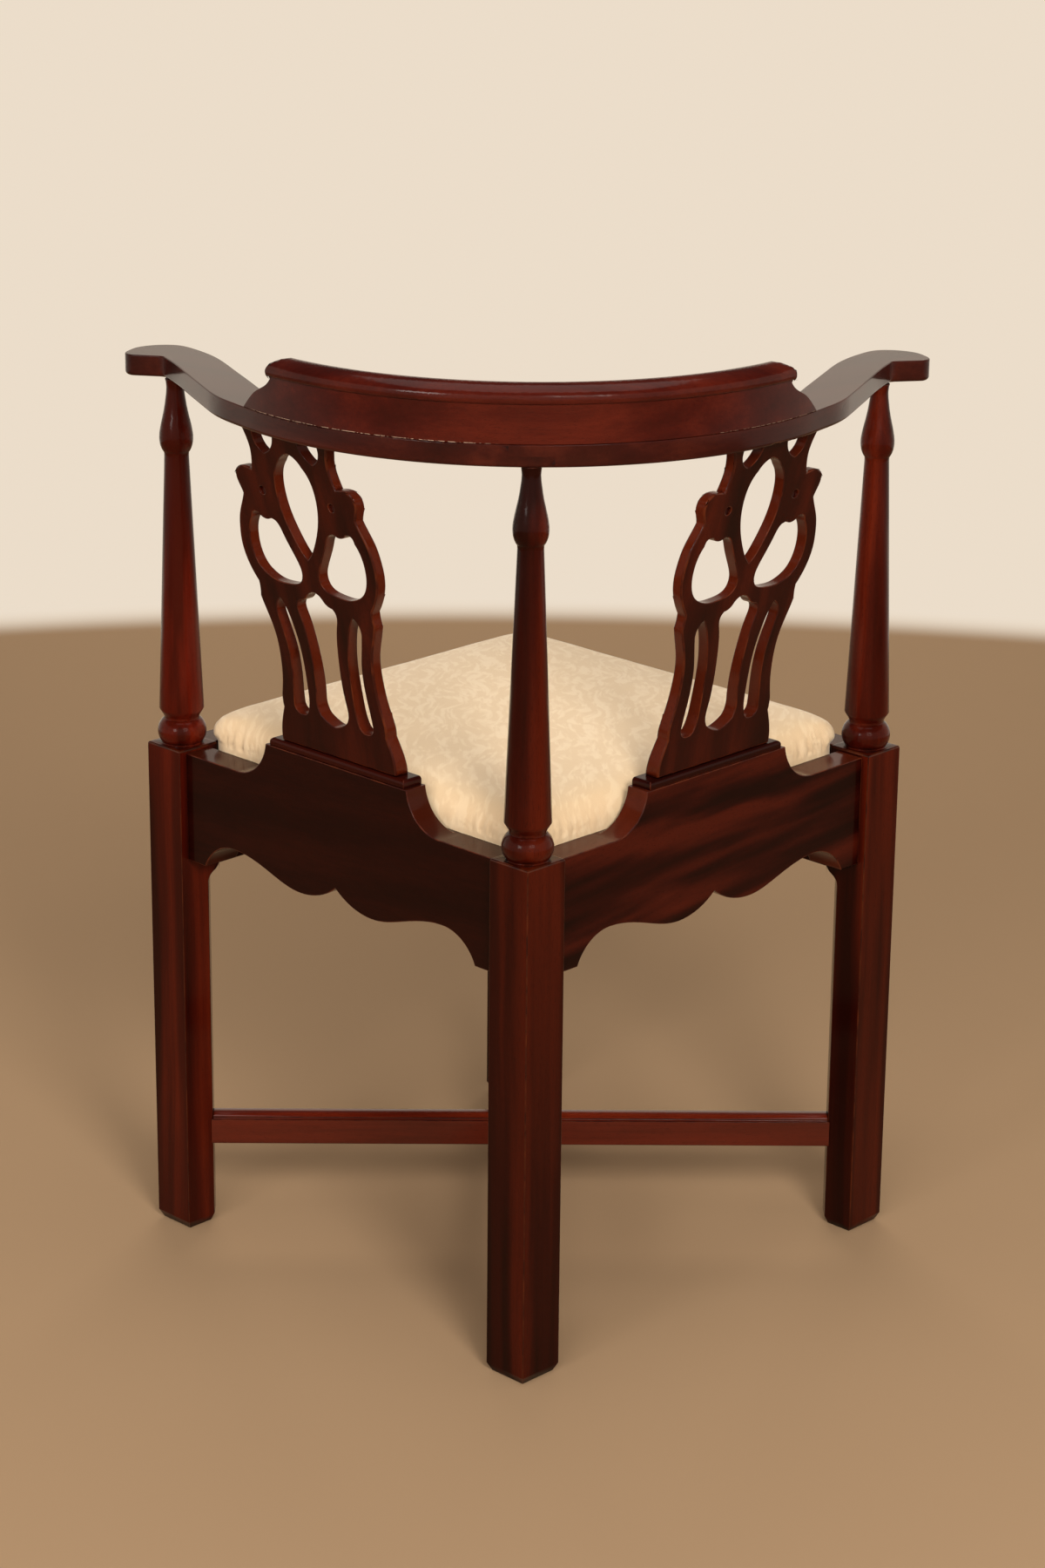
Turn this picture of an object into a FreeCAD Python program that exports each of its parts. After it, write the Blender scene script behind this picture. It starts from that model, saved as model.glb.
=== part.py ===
import FreeCAD, Part
import math
import os

from FreeCAD import Vector

# Corner chair: a square seat turned so that one corner points forward.
# Origin on the floor under the middle of the seat, +Z up, front corner towards -Y,
# the sitter's left towards +X. All sizes are in millimetres.

# Legs: square in section, faces in line with the seat rails
leg_spacing = 421.5
leg_width = 43.0
leg_height = 454.5
leg_inner_chamfer = 13.0
chamfer_end_above_rail = 3.5
chamfer_run_out = 19.0
foot_bevel_height = 7.4
foot_bevel_inset = 3.6
leg_top_bevel = 1.0

# Turned posts above the rear and side legs
post_foot_radius = 18.0
post_bead_radius = 21.2
post_neck_radius = 15.3
post_shaft_radius = 19.5
post_slim_radius = 10.6
post_bulb_radius = 14.5
post_throat_radius = 7.7
post_top_radius = 8.8
post_tenon_radius = 6.5
post_tenon_length = 14.0

# Seat rails
rail_setback = 7.0
rail_thickness = 36.0
rail_top_drop = 3.0
back_rail_height = 97.9
front_rail_height = 109.5
rabbet_width = 9.25
rabbet_depth = 16.0
rail_tenon_thickness = 12.0
rail_tenon_length = 15.0
rail_tenon_margin = 20.0

# Raised block in the middle of each back rail
block_rise = 33.0
block_half_length = 86.0
block_cove_length = 41.0
block_thickness = 22.2

# Shoe on the raised block
shoe_height = 6.5
shoe_half_length = 81.5
shoe_outer_margin = 1.2
shoe_thickness = 20.8

# Pierced splats
splat_half_width = 80.0
splat_outer_margin = 4.5
splat_thickness = 10.2
splat_foot_thickness = 15.0
splat_inset_under_arm = 18.2
splat_tenon_thickness = 8.0
splat_foot_tenon_half = 55.0
splat_top_tenon_half = 36.0
splat_top_tenon_length = 12.0
splat_eye_radius = 3.5
splat_eye_depth = 1.5

# Arms: one flat hoop of two pieces, half-lapped behind the rear post
arm_underside = 776.7
arm_thickness = 18.3
arm_centre_forward = 36.0
arm_rear_overhang = 11.5
arm_width = 39.2
arm_lap_length = 36.0
arm_lower_ease = 3.2
arm_upper_ease = 1.0

# Crest on the arms
crest_height = 47.0
crest_foot_thickness = 26.0
crest_top_thickness = 17.0
crest_bead_height = 15.4
crest_bead_proud = 3.0
crest_half_angle = 57.0
crest_end_angle = 52.0
crest_dowel_radius = 4.0
crest_dowel_depth = 11.0
crest_dowel_angles = (14.0, 30.0, 44.0)

# Stretchers: two moulded bars that cross and are half-lapped
stretcher_bottom = 77.2
stretcher_height = 28.4
stretcher_width = 22.0
stretcher_flat = 23.4
stretcher_ledge = 2.0
stretcher_quirk = 1.0
stretcher_tenon_thickness = 11.0
stretcher_tenon_height = 17.0
stretcher_tenon_length = 18.0

# Corner blocks inside the seat rails, and their screws
corner_block_side = 62.0
corner_block_height = 40.0
corner_block_gap = 3.0
screw_shank_radius = 2.0
screw_head_radius = 4.0
screw_head_height = 3.0
screw_length = 30.0
screw_from_corner = 34.0

# Drop-in seat
seat_gap = 0.5
seat_rest_gap = 0.3
seat_leg_gap = 0.6
cover_thickness = 1.2
cover_turn_under = 30.0
seat_frame_thickness = 14.0
seat_frame_width = 45.0
webbing_width = 50.0
webbing_thickness = 1.0
webbing_count = 4
burlap_thickness = 1.0
pad_crown = 39.6
dust_cover_thickness = 0.6
tack_head_radius = 2.6
tack_head_height = 0.8
tack_shank_radius = 0.8
tack_shank_length = 7.0
tacks_per_side = 6

# Places that follow from the sizes above
root_two = math.sqrt(2.0)
leg_reach = leg_spacing / root_two
leg_half = leg_width / 2
leg_corner = leg_half * root_two
leg_line = leg_spacing / 2
rail_half = leg_line - leg_half
rail_outer = leg_line + leg_half - rail_setback
rail_inner = rail_outer - rail_thickness
rail_top = leg_height - rail_top_drop
ledge_top = rail_top - rabbet_depth
rabbet_wall = rail_inner + rabbet_width
block_top = rail_top + block_rise
shoe_top = block_top + shoe_height
arm_top = arm_underside + arm_thickness
arm_outer_radius = leg_reach + arm_rear_overhang - arm_centre_forward
arm_inner_radius = arm_outer_radius - arm_width

up = Vector(0, 0, 1)
origin = Vector(0, 0, 0)


def level(height):
    return lambda x, y: Vector(x, y, height)


def upright(depth):
    return lambda x, z: Vector(x, depth, z)


def sideways(x):
    return lambda y, z: Vector(x, y, z)


def face_through(place, start, *steps):
    """A flat face. A step of one point is a line, of two an arc, of more a smooth curve."""
    edges = []
    here = start
    for step in steps + ((start,),):
        points = [place(*point) for point in (here,) + step]
        here = step[-1]
        if points[0].distanceToPoint(points[-1]) < 1e-6:
            continue
        if len(step) == 1:
            edges.append(Part.LineSegment(*points).toShape())
        elif len(step) == 2:
            edges.append(Part.Arc(*points).toShape())
        else:
            curve = Part.BSplineCurve()
            curve.interpolate(points)
            edges.append(curve.toShape())
    return Part.Face(Part.Wire(edges))


def box(low, high):
    size = [b - a for a, b in zip(low, high)]
    return Part.makeBox(*size, Vector(*low))


def turned(shape, degrees, centre=origin):
    copy = shape.copy()
    copy.rotate(centre, up, degrees)
    return copy


def mirrored(shape):
    return shape.mirror(origin, Vector(1, 0, 0))


def with_mirror_image(shape):
    return shape.fuse(mirrored(shape)).removeSplitter()


def save(name, *solids):
    shape = solids[0] if len(solids) == 1 else Part.makeCompound(list(solids))
    shape.exportStep("parts/" + name + ".step")
    print(name, len(shape.Solids), round(shape.Volume, 1), shape.isValid())


# A leg is drawn at the rear corner, (0, leg_reach), and turned to the other three.
leg_turns = {"rear": 0, "left": -90, "front": 180, "right": 90}
# A rail is drawn along X with its outer face towards +Y, and turned to the four sides.
rail_turns = {"back_left": -45, "back_right": 45, "front_left": -135, "front_right": 135}


def leg_outline(half, flat):
    """Square with its inner corner, towards -Y, cut off at the distance flat."""
    corner = half * root_two
    if flat >= corner:
        return ((0, -corner), (corner, 0), (0, corner), (-corner, 0))
    cut = corner - flat
    return ((-cut, -flat), (cut, -flat), (corner, 0), (0, corner), (-corner, 0))


def leg_prism(half, flat, bottom, top):
    points = [Vector(x, y + leg_reach, bottom) for x, y in leg_outline(half, flat)]
    return Part.Face(Part.makePolygon(points + points[:1])).extrude(Vector(0, 0, top - bottom))


def leg_frustum(half_low, flat_low, half_high, flat_high, low, high):
    wires = []
    for half, flat, height in ((half_low, flat_low, low), (half_high, flat_high, high)):
        points = [Vector(x, y + leg_reach, height) for x, y in leg_outline(half, flat)]
        wires.append(Part.makePolygon(points + points[:1]))
    return Part.makeLoft(wires, True, True)


chamfer_flat = leg_corner - leg_inner_chamfer / root_two
chamfer_end = rail_top - front_rail_height + chamfer_end_above_rail
chamfer_start = chamfer_end - chamfer_run_out


def leg_block():
    flat_foot = chamfer_flat - foot_bevel_inset
    foot = leg_frustum(leg_half - foot_bevel_inset, flat_foot, leg_half, chamfer_flat,
                       0, foot_bevel_height)
    bevel_start = leg_height - leg_top_bevel
    shaft = leg_prism(leg_half, leg_corner, foot_bevel_height, bevel_start)
    inner = leg_reach - chamfer_flat
    outside = leg_reach - leg_corner - leg_half
    middle_y = leg_reach - (chamfer_flat + leg_corner) / 2
    middle_z = (chamfer_start + chamfer_end) / 2
    swell = chamfer_run_out * 0.1
    tongue = face_through(sideways(-leg_width), (inner, 0), ((inner, chamfer_start),),
                          ((inner - swell, (chamfer_start + middle_z) / 2 + swell), (middle_y, middle_z)),
                          ((leg_reach - leg_corner + swell, (middle_z + chamfer_end) / 2 - swell),
                           (leg_reach - leg_corner, chamfer_end)),
                          ((outside, chamfer_end),), ((outside, 0),))
    shaft = shaft.cut(tongue.extrude(Vector(2 * leg_width, 0, 0)))
    cap = leg_frustum(leg_half, leg_corner, leg_half - leg_top_bevel,
                      leg_corner, bevel_start, leg_height)
    return foot.fuse([shaft, cap]).removeSplitter()


def on_post(radius, height):
    """A point of the post's profile, drawn for 322.2 from the leg block to the arm."""
    return (radius, leg_height + height * (arm_underside - leg_height) / 322.2)


def post():
    """Turned post on the leg block: bead, tapering shaft, small bulb and tenon."""
    profile = face_through(
        sideways(0), (0, leg_height), ((post_foot_radius, leg_height),),
        (on_post(post_foot_radius, 1.5),),
        (on_post(post_bead_radius, 11.75), on_post(post_neck_radius + 0.8, 22.0)),
        (on_post(post_neck_radius, 22.2),), (on_post(post_neck_radius, 24.4),),
        (on_post(post_shaft_radius, 31.5),),
        (on_post(post_slim_radius, 255.5),), (on_post(post_slim_radius + 0.1, 258.5),),
        (on_post(post_bulb_radius - 1.0, 263.9), on_post(post_bulb_radius, 270.2),
         on_post(post_bulb_radius - 1.0, 280.0), on_post(post_slim_radius - 0.1, 293.5),
         on_post(post_throat_radius + 0.3, 309.0), on_post(post_throat_radius, 317.0),
         (post_top_radius, arm_underside)),
        ((post_tenon_radius, arm_underside),),
        ((post_tenon_radius, arm_underside + post_tenon_length),),
        ((0, arm_underside + post_tenon_length),))
    solid = profile.revolve(origin, up, 360)
    solid.translate(Vector(0, leg_reach, 0))
    return solid


def rail_tenons(height):
    """The two tenons of a rail that is drawn along X."""
    bottom = rail_top - height + rail_tenon_margin
    top = ledge_top - rail_tenon_margin / 4
    low_y = leg_line - rail_tenon_thickness / 2
    high_y = leg_line + rail_tenon_thickness / 2
    right = box((rail_half, low_y, bottom), (rail_half + rail_tenon_length, high_y, top))
    return [right, mirrored(right)]


def stretcher_tenon():
    """Tenon at the end of a stretcher that is drawn along Y, in the rear leg."""
    start = leg_reach - chamfer_flat
    half = stretcher_tenon_thickness / 2
    low = stretcher_bottom + (stretcher_flat - stretcher_tenon_height) / 2
    return box((-half, start, low), (half, start + stretcher_tenon_length, low + stretcher_tenon_height))


def legs():
    all_rail_tenons = []
    for side, turn in rail_turns.items():
        height = back_rail_height if side.startswith("back") else front_rail_height
        all_rail_tenons += [turned(tenon, turn) for tenon in rail_tenons(height)]
    block = leg_block()
    tall = block.fuse(post()).removeSplitter()
    for corner, turn in leg_turns.items():
        whole = block if corner == "front" else tall
        mortised = turned(whole.cut(stretcher_tenon()), turn).cut(all_rail_tenons)
        save("leg_" + corner, mortised)


def scallop(x, above_bottom):
    """A point of the shaped lower edge, which stretches with the rail's length."""
    return (x * rail_half / 189.25, rail_top - back_rail_height + above_bottom)


def back_rail_body():
    bottom = rail_top - back_rail_height
    cove_start = (block_half_length + block_cove_length, rail_top)
    cove_middle = (block_half_length + block_cove_length * 0.29, rail_top + block_rise * 0.29)
    half = face_through(
        upright(rail_inner), scallop(0, 23.0),
        (scallop(18, 12.5), scallop(43.5, 7.5)),
        (scallop(59, 9.0), scallop(85, 16.6), scallop(101, 21.2), scallop(125, 24.8)),
        (scallop(149.8, 18.9), scallop(166, 0.1)),
        (scallop(166, 0),), ((rail_half, bottom),), ((rail_half, rail_top),),
        (cove_start,), (cove_middle, (block_half_length, block_top)),
        ((0, block_top),))
    return with_mirror_image(half.extrude(Vector(0, rail_thickness, 0)))


def front_rail_body():
    return box((-rail_half, rail_inner, rail_top - front_rail_height),
               (rail_half, rail_outer, rail_top))


def rabbet():
    above = box((-rail_half, rail_inner, ledge_top), (rail_half, rabbet_wall, rail_top))
    beside = box((-rail_half, rail_inner, rail_top),
                 (rail_half, rail_outer - block_thickness, block_top))
    return [above, beside]


def screw(head_x):
    """Screw through a corner block into a rail that is drawn along X."""
    tip = rail_inner + screw_length / 2
    head = tip - screw_length
    shank = Part.makeCylinder(screw_shank_radius, screw_length, Vector(head_x, head, 0), Vector(0, 1, 0))
    cone = Part.makeCone(screw_head_radius, screw_shank_radius, screw_head_height,
                         Vector(head_x, head, 0), Vector(0, 1, 0))
    both = shank.fuse(cone).removeSplitter()
    both.translate(Vector(0, 0, ledge_top - corner_block_gap - corner_block_height / 2))
    return both


def all_screws():
    found = []
    for turn in rail_turns.values():
        for end in (-1, 1):
            found.append(turned(screw(end * (rail_inner - screw_from_corner)), turn))
    return found


def rails_and_shoes(screws):
    for side, turn in rail_turns.items():
        back = side.startswith("back")
        body = back_rail_body() if back else front_rail_body()
        height = back_rail_height if back else front_rail_height
        rail = body.cut(rabbet()).fuse(rail_tenons(height)).removeSplitter()
        save("rail_" + side, turned(rail, turn).cut(screws))


shoe_outer = rail_outer - shoe_outer_margin
splat_foot_outer = rail_outer - splat_outer_margin


def splat_foot_tenon():
    middle = splat_foot_outer - splat_foot_thickness / 2
    half = splat_tenon_thickness / 2
    return box((-splat_foot_tenon_half, middle - half, block_top),
               (splat_foot_tenon_half, middle + half, shoe_top + 1))


def shoes():
    """Strip with a rounded upper edge on the outer side and at both ends."""
    inner = shoe_outer - shoe_thickness
    step = shoe_height / 2
    low = box((-shoe_half_length, inner, block_top), (shoe_half_length, shoe_outer, shoe_top))
    rounded = [edge for edge in low.Edges
               if edge.BoundBox.ZMin > shoe_top - 1e-6 and edge.BoundBox.YMax > inner + 1]
    shoe = low.makeFillet(step, rounded).cut(splat_foot_tenon())
    for side in ("back_left", "back_right"):
        save("shoe_" + side[5:], turned(shoe, rail_turns[side]))


def splat_at(x, height):
    """Splat outlines are drawn for a height of 285.7 and a half width of 80 and stretched to fit."""
    return (x * splat_half_width / 80.0, shoe_top + height * (arm_underside - shoe_top) / 285.7)


def outline_points(*pairs):
    return tuple(splat_at(x, height) for x, height in pairs)


def splat_outline():
    top = arm_underside
    half = face_through(
        upright(0), splat_at(0, 0), outline_points((69, 0)),
        outline_points((69, 9), (67, 19), (62.5, 32)),
        outline_points((63.2, 38), (60.4, 53), (57.3, 77), (58.5, 99), (61.8, 111), (65.6, 121), (69, 131)),
        outline_points((68, 137), (68, 144)),
        outline_points((74, 153), (78.6, 163.5), (81, 177), (80, 189), (76.2, 203.5), (71.3, 213),
                       (66.8, 222)),
        outline_points((69.8, 230), (71.4, 236), (69.6, 242.5), (64, 246.5), (57, 247.3), (50, 246)),
        outline_points((47.8, 253), (46.2, 263), (47.4, 273), (52.5, 285.7)),
        ((0, top),))
    return half


def oval_hole():
    return face_through(
        upright(0), splat_at(0, 267.5), outline_points((7.6, 264.5), (13.8, 258)),
        outline_points((20.6, 248), (23.3, 235), (23, 224), (20.6, 212), (16, 200), (10.6, 189.5),
                       (5, 181), (0, 176)))


def lobe_hole():
    return face_through(
        upright(0), splat_at(52, 207.5), outline_points((45.5, 203.5), (38, 205)),
        outline_points((31, 203), (25, 193), (18.8, 181.5), (13.2, 171.5), (10.6, 163), (13.6, 154.5),
                       (21.5, 150.8), (32, 149.5), (42.5, 149.6), (52.5, 152.5), (61, 158), (66.5, 167),
                       (68.4, 180), (65.7, 194), (61, 202)),
        outline_points((59.2, 206.3), (56, 208)))


def lower_hole():
    return face_through(
        upright(0), splat_at(0, 147.5), outline_points((6, 145.5), (10, 141.5)),
        outline_points((14.5, 138.2), (19.5, 137)),
        outline_points((23.2, 131.5), (21.2, 121), (18.3, 107), (16.4, 88), (16.1, 69), (17.5, 54), (18.7, 44),
                       (15.8, 35)),
        outline_points((10, 31), (0, 27.5)))


def slot_hole():
    return face_through(
        upright(0), splat_at(43.5, 134), outline_points((49, 128.5), (50, 118)),
        outline_points((47.3, 106), (44.2, 91), (43.5, 77), (44.4, 63), (46.4, 48), (47.4, 38)),
        outline_points((44.7, 32), (40, 30.5)),
        outline_points((33.5, 32), (29.5, 40), (28.1, 55), (28.1, 76), (29.6, 95), (33, 111), (37, 123),
                       (43.5, 134)))


def top_hole():
    return face_through(
        upright(0), splat_at(38, 281), outline_points((36.5, 270), (28.5, 263.5)),
        outline_points((21, 268), (14.5, 281)))


def arm_edge_on_diagonal(radius):
    """Distance from the chair's axis to a circle of the arm hoop, along a rail's normal."""
    half = arm_centre_forward / root_two
    return half + math.sqrt(half * half - arm_centre_forward ** 2 + radius ** 2)


splat_top_outer = arm_edge_on_diagonal(arm_outer_radius) - splat_inset_under_arm
# How the splat leans out: share of its height, and share of its whole lean
splat_lean = ((0, 0), (0.203, 0.145), (0.477, 0.407), (0.726, 0.663), (1, 1))


def splat_sheet():
    """The curved board that a splat is sawn from."""
    rise = arm_underside - shoe_top
    outer = [(splat_foot_outer + lean * (splat_top_outer - splat_foot_outer), shoe_top + share * rise)
             for share, lean in splat_lean]
    swell = splat_foot_thickness - splat_thickness
    inner = [(y - splat_thickness - swell * max(0, 1 - 3.4 * share), z)
             for (y, z), (share, lean) in zip(outer, splat_lean)]
    start = outer[0]
    face = face_through(sideways(-2 * splat_half_width), start, tuple(outer[1:]),
                        (inner[-1],), tuple(reversed(inner[:-1])))
    return face.extrude(Vector(4 * splat_half_width, 0, 0))


def splat_top_tenon():
    middle = splat_top_outer - splat_thickness / 2
    half = splat_tenon_thickness / 2
    return box((-splat_top_tenon_half, middle - half, arm_underside - 1),
               (splat_top_tenon_half, middle + half, arm_underside + splat_top_tenon_length))


def eye():
    """Shallow round sinking on the outer face, beside the top of the oval."""
    x, z = splat_at(41, 229)
    share = (z - shoe_top) / (arm_underside - shoe_top)
    face_y = splat_foot_outer + (share * 1.02 - 0.085) * (splat_top_outer - splat_foot_outer)
    return Part.makeCylinder(splat_eye_radius, splat_thickness, Vector(x, face_y - splat_eye_depth, z),
                             Vector(0, 1, 0))


def splats():
    depth = Vector(0, 2 * arm_outer_radius, 0)
    holes = [hole().extrude(depth) for hole in (oval_hole, lobe_hole, lower_hole, slot_hole, top_hole)]
    holes.append(eye())
    half = splat_outline().extrude(depth).common(splat_sheet()).cut(holes)
    board = with_mirror_image(half)
    splat = board.fuse([splat_foot_tenon(), splat_top_tenon()]).removeSplitter()
    for side in ("back_left", "back_right"):
        save("splat_" + side[5:], turned(splat, rail_turns[side]))


def on_hoop(radius, degrees):
    angle = math.radians(degrees)
    return (radius * math.sin(angle), arm_centre_forward + radius * math.cos(angle))


def by_side_post(x, y):
    """A point of the hand from the side post's axis, drawn for a post 298.05 from the chair's axis."""
    stretch = leg_reach / 298.05
    return (leg_reach + x * stretch, y * stretch)


def hoop_way(degrees):
    """Direction along the hoop, away from the rear post on the sitter's left."""
    return Vector(math.cos(math.radians(degrees)), -math.sin(math.radians(degrees)), 0)


def arm_curve(points, first_way, last_way):
    """A smooth edge of the arm's underside that leaves and arrives in the given directions."""
    place = level(arm_underside)
    curve = Part.BSplineCurve()
    curve.interpolate(Points=[place(*point) for point in points],
                      InitialTangent=first_way, FinalTangent=last_way, Scale=False)
    return curve.toShape()


def arm_half():
    """Half of the hoop, from the rear centre to the hand on the sitter's left."""
    flare_angle = 56.9
    hand_angle = 71.3
    flare = [by_side_post(-46.5, 150), by_side_post(-31.5, 112), by_side_post(-17, 70),
             by_side_post(1.5, 18), by_side_post(8.5, 1.5)]
    notch = [flare[-1], by_side_post(11.1, -1.5), by_side_post(15, -2.8)]
    hand = [by_side_post(36, -6.5), by_side_post(43, -14), by_side_post(41, -26), by_side_post(35, -38),
            by_side_post(27, -44.5), by_side_post(12, -49), by_side_post(0, -47), by_side_post(-12, -36),
            by_side_post(-33, -4), by_side_post(-51, 41), on_hoop(arm_inner_radius, hand_angle)]
    into_notch = Vector(0.39, -0.92, 0)
    out_of_notch = Vector(0.985, -0.174, 0)
    place = level(arm_underside)
    outer = [place(*on_hoop(arm_outer_radius, angle)) for angle in (0, flare_angle / 2, flare_angle)]
    inner = [place(*on_hoop(arm_inner_radius, angle)) for angle in (hand_angle, hand_angle / 2, 0)]
    edges = [
        Part.Arc(*outer).toShape(),
        arm_curve([on_hoop(arm_outer_radius, flare_angle)] + flare, hoop_way(flare_angle), into_notch),
        arm_curve(notch, into_notch, out_of_notch),
        Part.LineSegment(place(*notch[-1]), place(*hand[0])).toShape(),
        arm_curve(hand, out_of_notch, -hoop_way(hand_angle)),
        Part.Arc(*inner).toShape(),
        Part.LineSegment(inner[-1], outer[0]).toShape()]
    return Part.Face(Part.Wire(edges)).extrude(Vector(0, 0, arm_thickness))


def eased_arm_half():
    half = arm_half()
    away_from_joint = [edge for edge in half.Edges if edge.BoundBox.XMax > 1 and edge.BoundBox.ZLength < 1e-6]
    lower = [edge for edge in away_from_joint if edge.BoundBox.ZMax < arm_underside + 1]
    eased = half.makeFillet(arm_lower_ease, lower)
    upper = [edge for edge in eased.Edges
             if edge.BoundBox.XMax > 1 and edge.BoundBox.ZMin > arm_top - 1e-3]
    return eased.makeFillet(arm_upper_ease, upper)


def crest_dowels():
    middle = arm_outer_radius - crest_foot_thickness / 2
    pegs = []
    for angle in crest_dowel_angles:
        for sign in (-1, 1):
            x, y = on_hoop(middle, sign * angle)
            pegs.append(Part.makeCylinder(crest_dowel_radius, 2 * crest_dowel_depth,
                                          Vector(x, y, arm_top - crest_dowel_depth), up))
    return pegs


def post_holes():
    hole = Part.makeCylinder(post_tenon_radius, post_tenon_length, Vector(0, leg_reach, arm_underside), up)
    return [turned(hole, leg_turns[corner]) for corner in ("rear", "left", "right")]


def arms(dowels):
    hoop = with_mirror_image(eased_arm_half())
    mortises = [turned(splat_top_tenon(), rail_turns[side]) for side in ("back_left", "back_right")]
    hoop = hoop.cut(mortises + post_holes() + dowels)
    far = 2 * leg_reach
    lap_half = arm_lap_length / 2
    left_side = box((lap_half, -far, arm_underside - 1), (far, far, arm_top + 1))
    lower_lap = box((-lap_half, -far, arm_underside - 1), (lap_half, far, arm_underside + arm_thickness / 2))
    left_space = left_side.fuse(lower_lap)
    save("arm_left", hoop.common(left_space))
    save("arm_right", hoop.cut(left_space))


def crest(dowels):
    """Curved board that stands on the arms, with a rolled bead along its top edge."""
    outer = arm_centre_forward + arm_outer_radius
    top = arm_top + crest_height
    bead_foot = top - crest_bead_height
    section = face_through(
        sideways(0), (outer - crest_foot_thickness, arm_top), ((outer, arm_top),),
        ((outer, bead_foot),),
        ((outer + crest_bead_proud * 0.72, bead_foot + crest_bead_height * 0.06),
         (outer + crest_bead_proud, bead_foot + crest_bead_height * 0.25),
         (outer + crest_bead_proud * 0.76, bead_foot + crest_bead_height * 0.50),
         (outer - crest_top_thickness * 0.08, bead_foot + crest_bead_height * 0.77),
         (outer - crest_top_thickness * 0.37, bead_foot + crest_bead_height * 0.955),
         (outer - crest_top_thickness * 0.62, top),
         (outer - crest_top_thickness * 0.88, top - crest_height * 0.03),
         (outer - crest_top_thickness, top - crest_height * 0.10)),
        ((outer - crest_top_thickness * 1.147, arm_top + crest_height * 0.5),
         (outer - crest_foot_thickness, arm_top + crest_height * 0.106),
         (outer - crest_foot_thickness, arm_top)))
    centre = Vector(0, arm_centre_forward, 0)
    hoop = section.revolve(centre, up, crest_half_angle)
    whole = hoop.fuse(turned(hoop, -crest_half_angle, centre)).removeSplitter()
    stretch = crest_height / 47.0
    steps = [(x * stretch, arm_top + z * stretch) for x, z in (
        (14.3, 9), (4.8, 16.5), (-7.2, 22.5), (-14.8, 29.4), (-13.4, 31.4),
        (-12.0, 33.6), (-12.4, 38.0), (-15.0, 41.9), (-20.0, 45.0), (-27.0, 46.9), (-42, 49.5))]
    over = top + 5
    beyond = 80
    cutter = face_through(
        upright(arm_centre_forward + arm_inner_radius - arm_width), (24.5, arm_top - 1), ((23.4, arm_top),),
        tuple(steps[0:4]), (steps[4],), tuple(steps[5:11]),
        ((-42, over),), ((beyond, over),), ((beyond, arm_top - 1),))
    cutter = turned(cutter.extrude(Vector(0, 3 * arm_width, 0)), -crest_end_angle, centre)
    save("crest", whole.cut([cutter, mirrored(cutter)] + dowels))


def stretcher_section():
    """Half of the section: flat side, narrow ledge, quirk, then a rounded top."""
    half = stretcher_width / 2
    top = stretcher_bottom + stretcher_height
    shoulder = stretcher_bottom + stretcher_flat
    neck = half - stretcher_ledge
    rise = top - shoulder
    return face_through(
        upright(0), (0, stretcher_bottom), ((half, stretcher_bottom),), ((half, shoulder),),
        ((neck, shoulder),), ((neck - stretcher_quirk, shoulder + rise * 0.12),),
        ((neck, shoulder + rise * 0.3),), ((neck * 0.62, shoulder + rise * 0.8), (0, top)))


def stretchers():
    reach = leg_reach - chamfer_flat / 2
    half = with_mirror_image(stretcher_section().extrude(Vector(0, reach, 0)))
    bar = half.fuse(half.mirror(origin, Vector(0, 1, 0))).removeSplitter()
    prism = leg_prism(leg_half, chamfer_flat, 0, leg_height)
    bar = bar.cut([prism, turned(prism, 180)])
    tenon = stretcher_tenon()
    bar = bar.fuse([tenon, turned(tenon, 180)]).removeSplitter()
    lap = stretcher_width / 2
    middle = stretcher_bottom + stretcher_height / 2
    low = box((-lap, -lap, stretcher_bottom - 1), (lap, lap, middle))
    high = box((-lap, -lap, middle), (lap, lap, stretcher_bottom + stretcher_height + 1))
    save("stretcher_front_rear", bar.cut(low))
    save("stretcher_side", turned(bar, 90).cut(high))


def corner_blocks(screws):
    side = corner_block_side * root_two / 2
    tip = rail_inner * root_two
    top = ledge_top - corner_block_gap
    block = face_through(level(top - corner_block_height), (0, tip), ((side, tip - side),),
                         ((-side, tip - side),)).extrude(Vector(0, 0, corner_block_height))
    for corner, turn in leg_turns.items():
        save("corner_block_" + corner, turned(block, turn).cut(screws))
    save("corner_block_screws", *screws)


seat_half = rabbet_wall - seat_gap
seat_corner_reach = leg_reach - leg_corner - seat_leg_gap
seat_corner_radius = (seat_half * root_two - seat_corner_reach) / (root_two - 1)
seat_bottom = ledge_top + seat_rest_gap
frame_bottom = seat_bottom + cover_thickness
frame_top = frame_bottom + seat_frame_thickness
burlap_bottom = frame_top + 2 * webbing_thickness
pad_bottom = burlap_bottom + burlap_thickness
# The crown in section, for a seat 396 across: share of its height, inset from the seat's edge, and
# what its corners' radius gains. The corners swell over the legs, then soften towards the dome.
crown_steps = ((0, 0, 0), (0.20, 0.6, -12), (0.40, 3.0, -13), (0.57, 7.5, -12), (0.70, 13.5, -6),
               (0.80, 24, 4), (0.88, 42, 14), (0.94, 70, 20), (0.98, 112, 20), (1.0, 158, 0))


def rounded_square(half, radius, height):
    inner = half - radius
    bend = inner + radius / root_two
    corners = [((inner, half), (bend, bend), (half, inner)), ((half, -inner), (bend, -bend), (inner, -half)),
               ((-inner, -half), (-bend, -bend), (-half, -inner)), ((-half, inner), (-bend, bend), (-inner, half))]
    steps = []
    for start, middle, end in corners:
        steps.append((start,))
        steps.append((middle, end))
    face = face_through(level(height), (-inner, half), *steps)
    return turned(face, 45)


def seat_prism(inset, bottom, top):
    face = rounded_square(seat_half - inset, seat_corner_radius - inset, bottom)
    return face.extrude(Vector(0, 0, top - bottom))


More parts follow.
